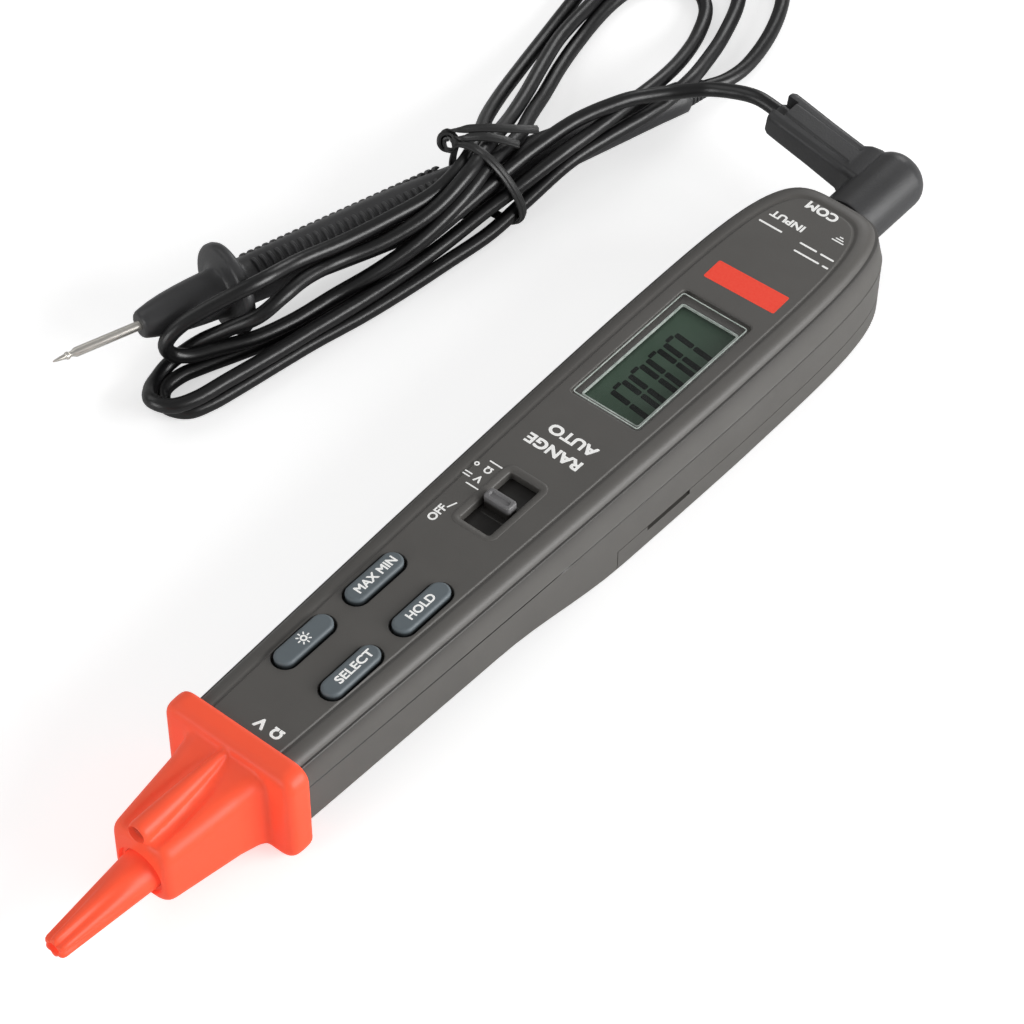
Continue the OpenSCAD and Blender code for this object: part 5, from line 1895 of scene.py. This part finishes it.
class PENMETER_OT_upper_shell(bpy.types.Operator):
    """Builds the upper shell with its openings"""

    bl_idname = "penmeter.upper_shell"
    bl_label = "Upper shell"

    def execute(self, context):
        build_upper_shell(context.scene.penmeter_sizes)
        return {"FINISHED"}


class PENMETER_OT_lower_shell(bpy.types.Operator):
    """Builds the lower shell and the battery cover"""

    bl_idname = "penmeter.lower_shell"
    bl_label = "Lower shell and cover"

    def execute(self, context):
        build_lower_shell(context.scene.penmeter_sizes)
        return {"FINISHED"}


class PENMETER_OT_nose(bpy.types.Operator):
    """Builds the red nose guard"""

    bl_idname = "penmeter.nose"
    bl_label = "Nose guard"

    def execute(self, context):
        build_nose()
        return {"FINISHED"}


class PENMETER_OT_sleeve(bpy.types.Operator):
    """Builds the sprung tip sleeve and its spring"""

    bl_idname = "penmeter.sleeve"
    bl_label = "Tip sleeve"

    def execute(self, context):
        build_sleeve(context.scene.penmeter_sizes)
        return {"FINISHED"}


class PENMETER_OT_keys(bpy.types.Operator):
    """Builds the four keys with their print"""

    bl_idname = "penmeter.keys"
    bl_label = "Keys"

    def execute(self, context):
        build_keys(context.scene.penmeter_sizes)
        return {"FINISHED"}


class PENMETER_OT_selector(bpy.types.Operator):
    """Builds the slide selector"""

    bl_idname = "penmeter.selector"
    bl_label = "Selector"

    def execute(self, context):
        build_selector()
        return {"FINISHED"}


class PENMETER_OT_display(bpy.types.Operator):
    """Builds the display window and its figures"""

    bl_idname = "penmeter.display"
    bl_label = "Display"

    def execute(self, context):
        build_display()
        return {"FINISHED"}


class PENMETER_OT_prints(bpy.types.Operator):
    """Prints the marks on the face"""

    bl_idname = "penmeter.prints"
    bl_label = "Print"

    def execute(self, context):
        build_prints()
        return {"FINISHED"}


class PENMETER_OT_inner_parts(bpy.types.Operator):
    """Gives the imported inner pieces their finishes"""

    bl_idname = "penmeter.inner_parts"
    bl_label = "Inner pieces"

    def execute(self, context):
        build_inner_parts()
        return {"FINISHED"}


OPERATORS = (
    PENMETER_OT_stage, PENMETER_OT_lead, PENMETER_OT_upper_shell, PENMETER_OT_lower_shell,
    PENMETER_OT_nose, PENMETER_OT_sleeve, PENMETER_OT_keys, PENMETER_OT_selector,
    PENMETER_OT_display, PENMETER_OT_prints, PENMETER_OT_inner_parts)
GROUPS = {"penmeter_sizes": MeterSizes, "penmeter_colours": MeterColours,
          "penmeter_stage": MeterStage}


class PENMETER_PT_pieces(bpy.types.Panel):
    """Lists the pieces and the sizes and colours that they take"""

    bl_idname = "PENMETER_PT_pieces"
    bl_label = "Pen Multimeter"
    bl_space_type = "VIEW_3D"
    bl_region_type = "UI"
    bl_category = "Pen Meter"

    def draw(self, context):
        for operator in OPERATORS:
            self.layout.operator(operator.bl_idname)
        for pointer, group in GROUPS.items():
            box = self.layout.box()
            for name in group.__annotations__:
                box.prop(getattr(context.scene, pointer), name)


CLASSES = (*GROUPS.values(), *OPERATORS, PENMETER_PT_pieces)


def register():
    for item in CLASSES:
        bpy.utils.register_class(item)
    for pointer, group in GROUPS.items():
        setattr(bpy.types.Scene, pointer, PointerProperty(type=group))


def unregister():
    for pointer in GROUPS:
        delattr(bpy.types.Scene, pointer)
    for item in reversed(CLASSES):
        bpy.utils.unregister_class(item)


def main():
    register()
    bpy.ops.penmeter.stage()
    bpy.ops.penmeter.lead()
    bpy.ops.penmeter.upper_shell()
    bpy.ops.penmeter.lower_shell()
    bpy.ops.penmeter.nose()
    bpy.ops.penmeter.sleeve()
    bpy.ops.penmeter.keys()
    bpy.ops.penmeter.selector()
    bpy.ops.penmeter.display()
    bpy.ops.penmeter.prints()
    bpy.ops.penmeter.inner_parts()
    boxes = {"cad": [list(corner) for corner in CAD_BOX],
             "visual": [list(corner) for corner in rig.bounds()]}
    with open(BOX_FILE, "w") as file:
        json.dump(boxes, file)


if __name__ == "__main__":
    main()
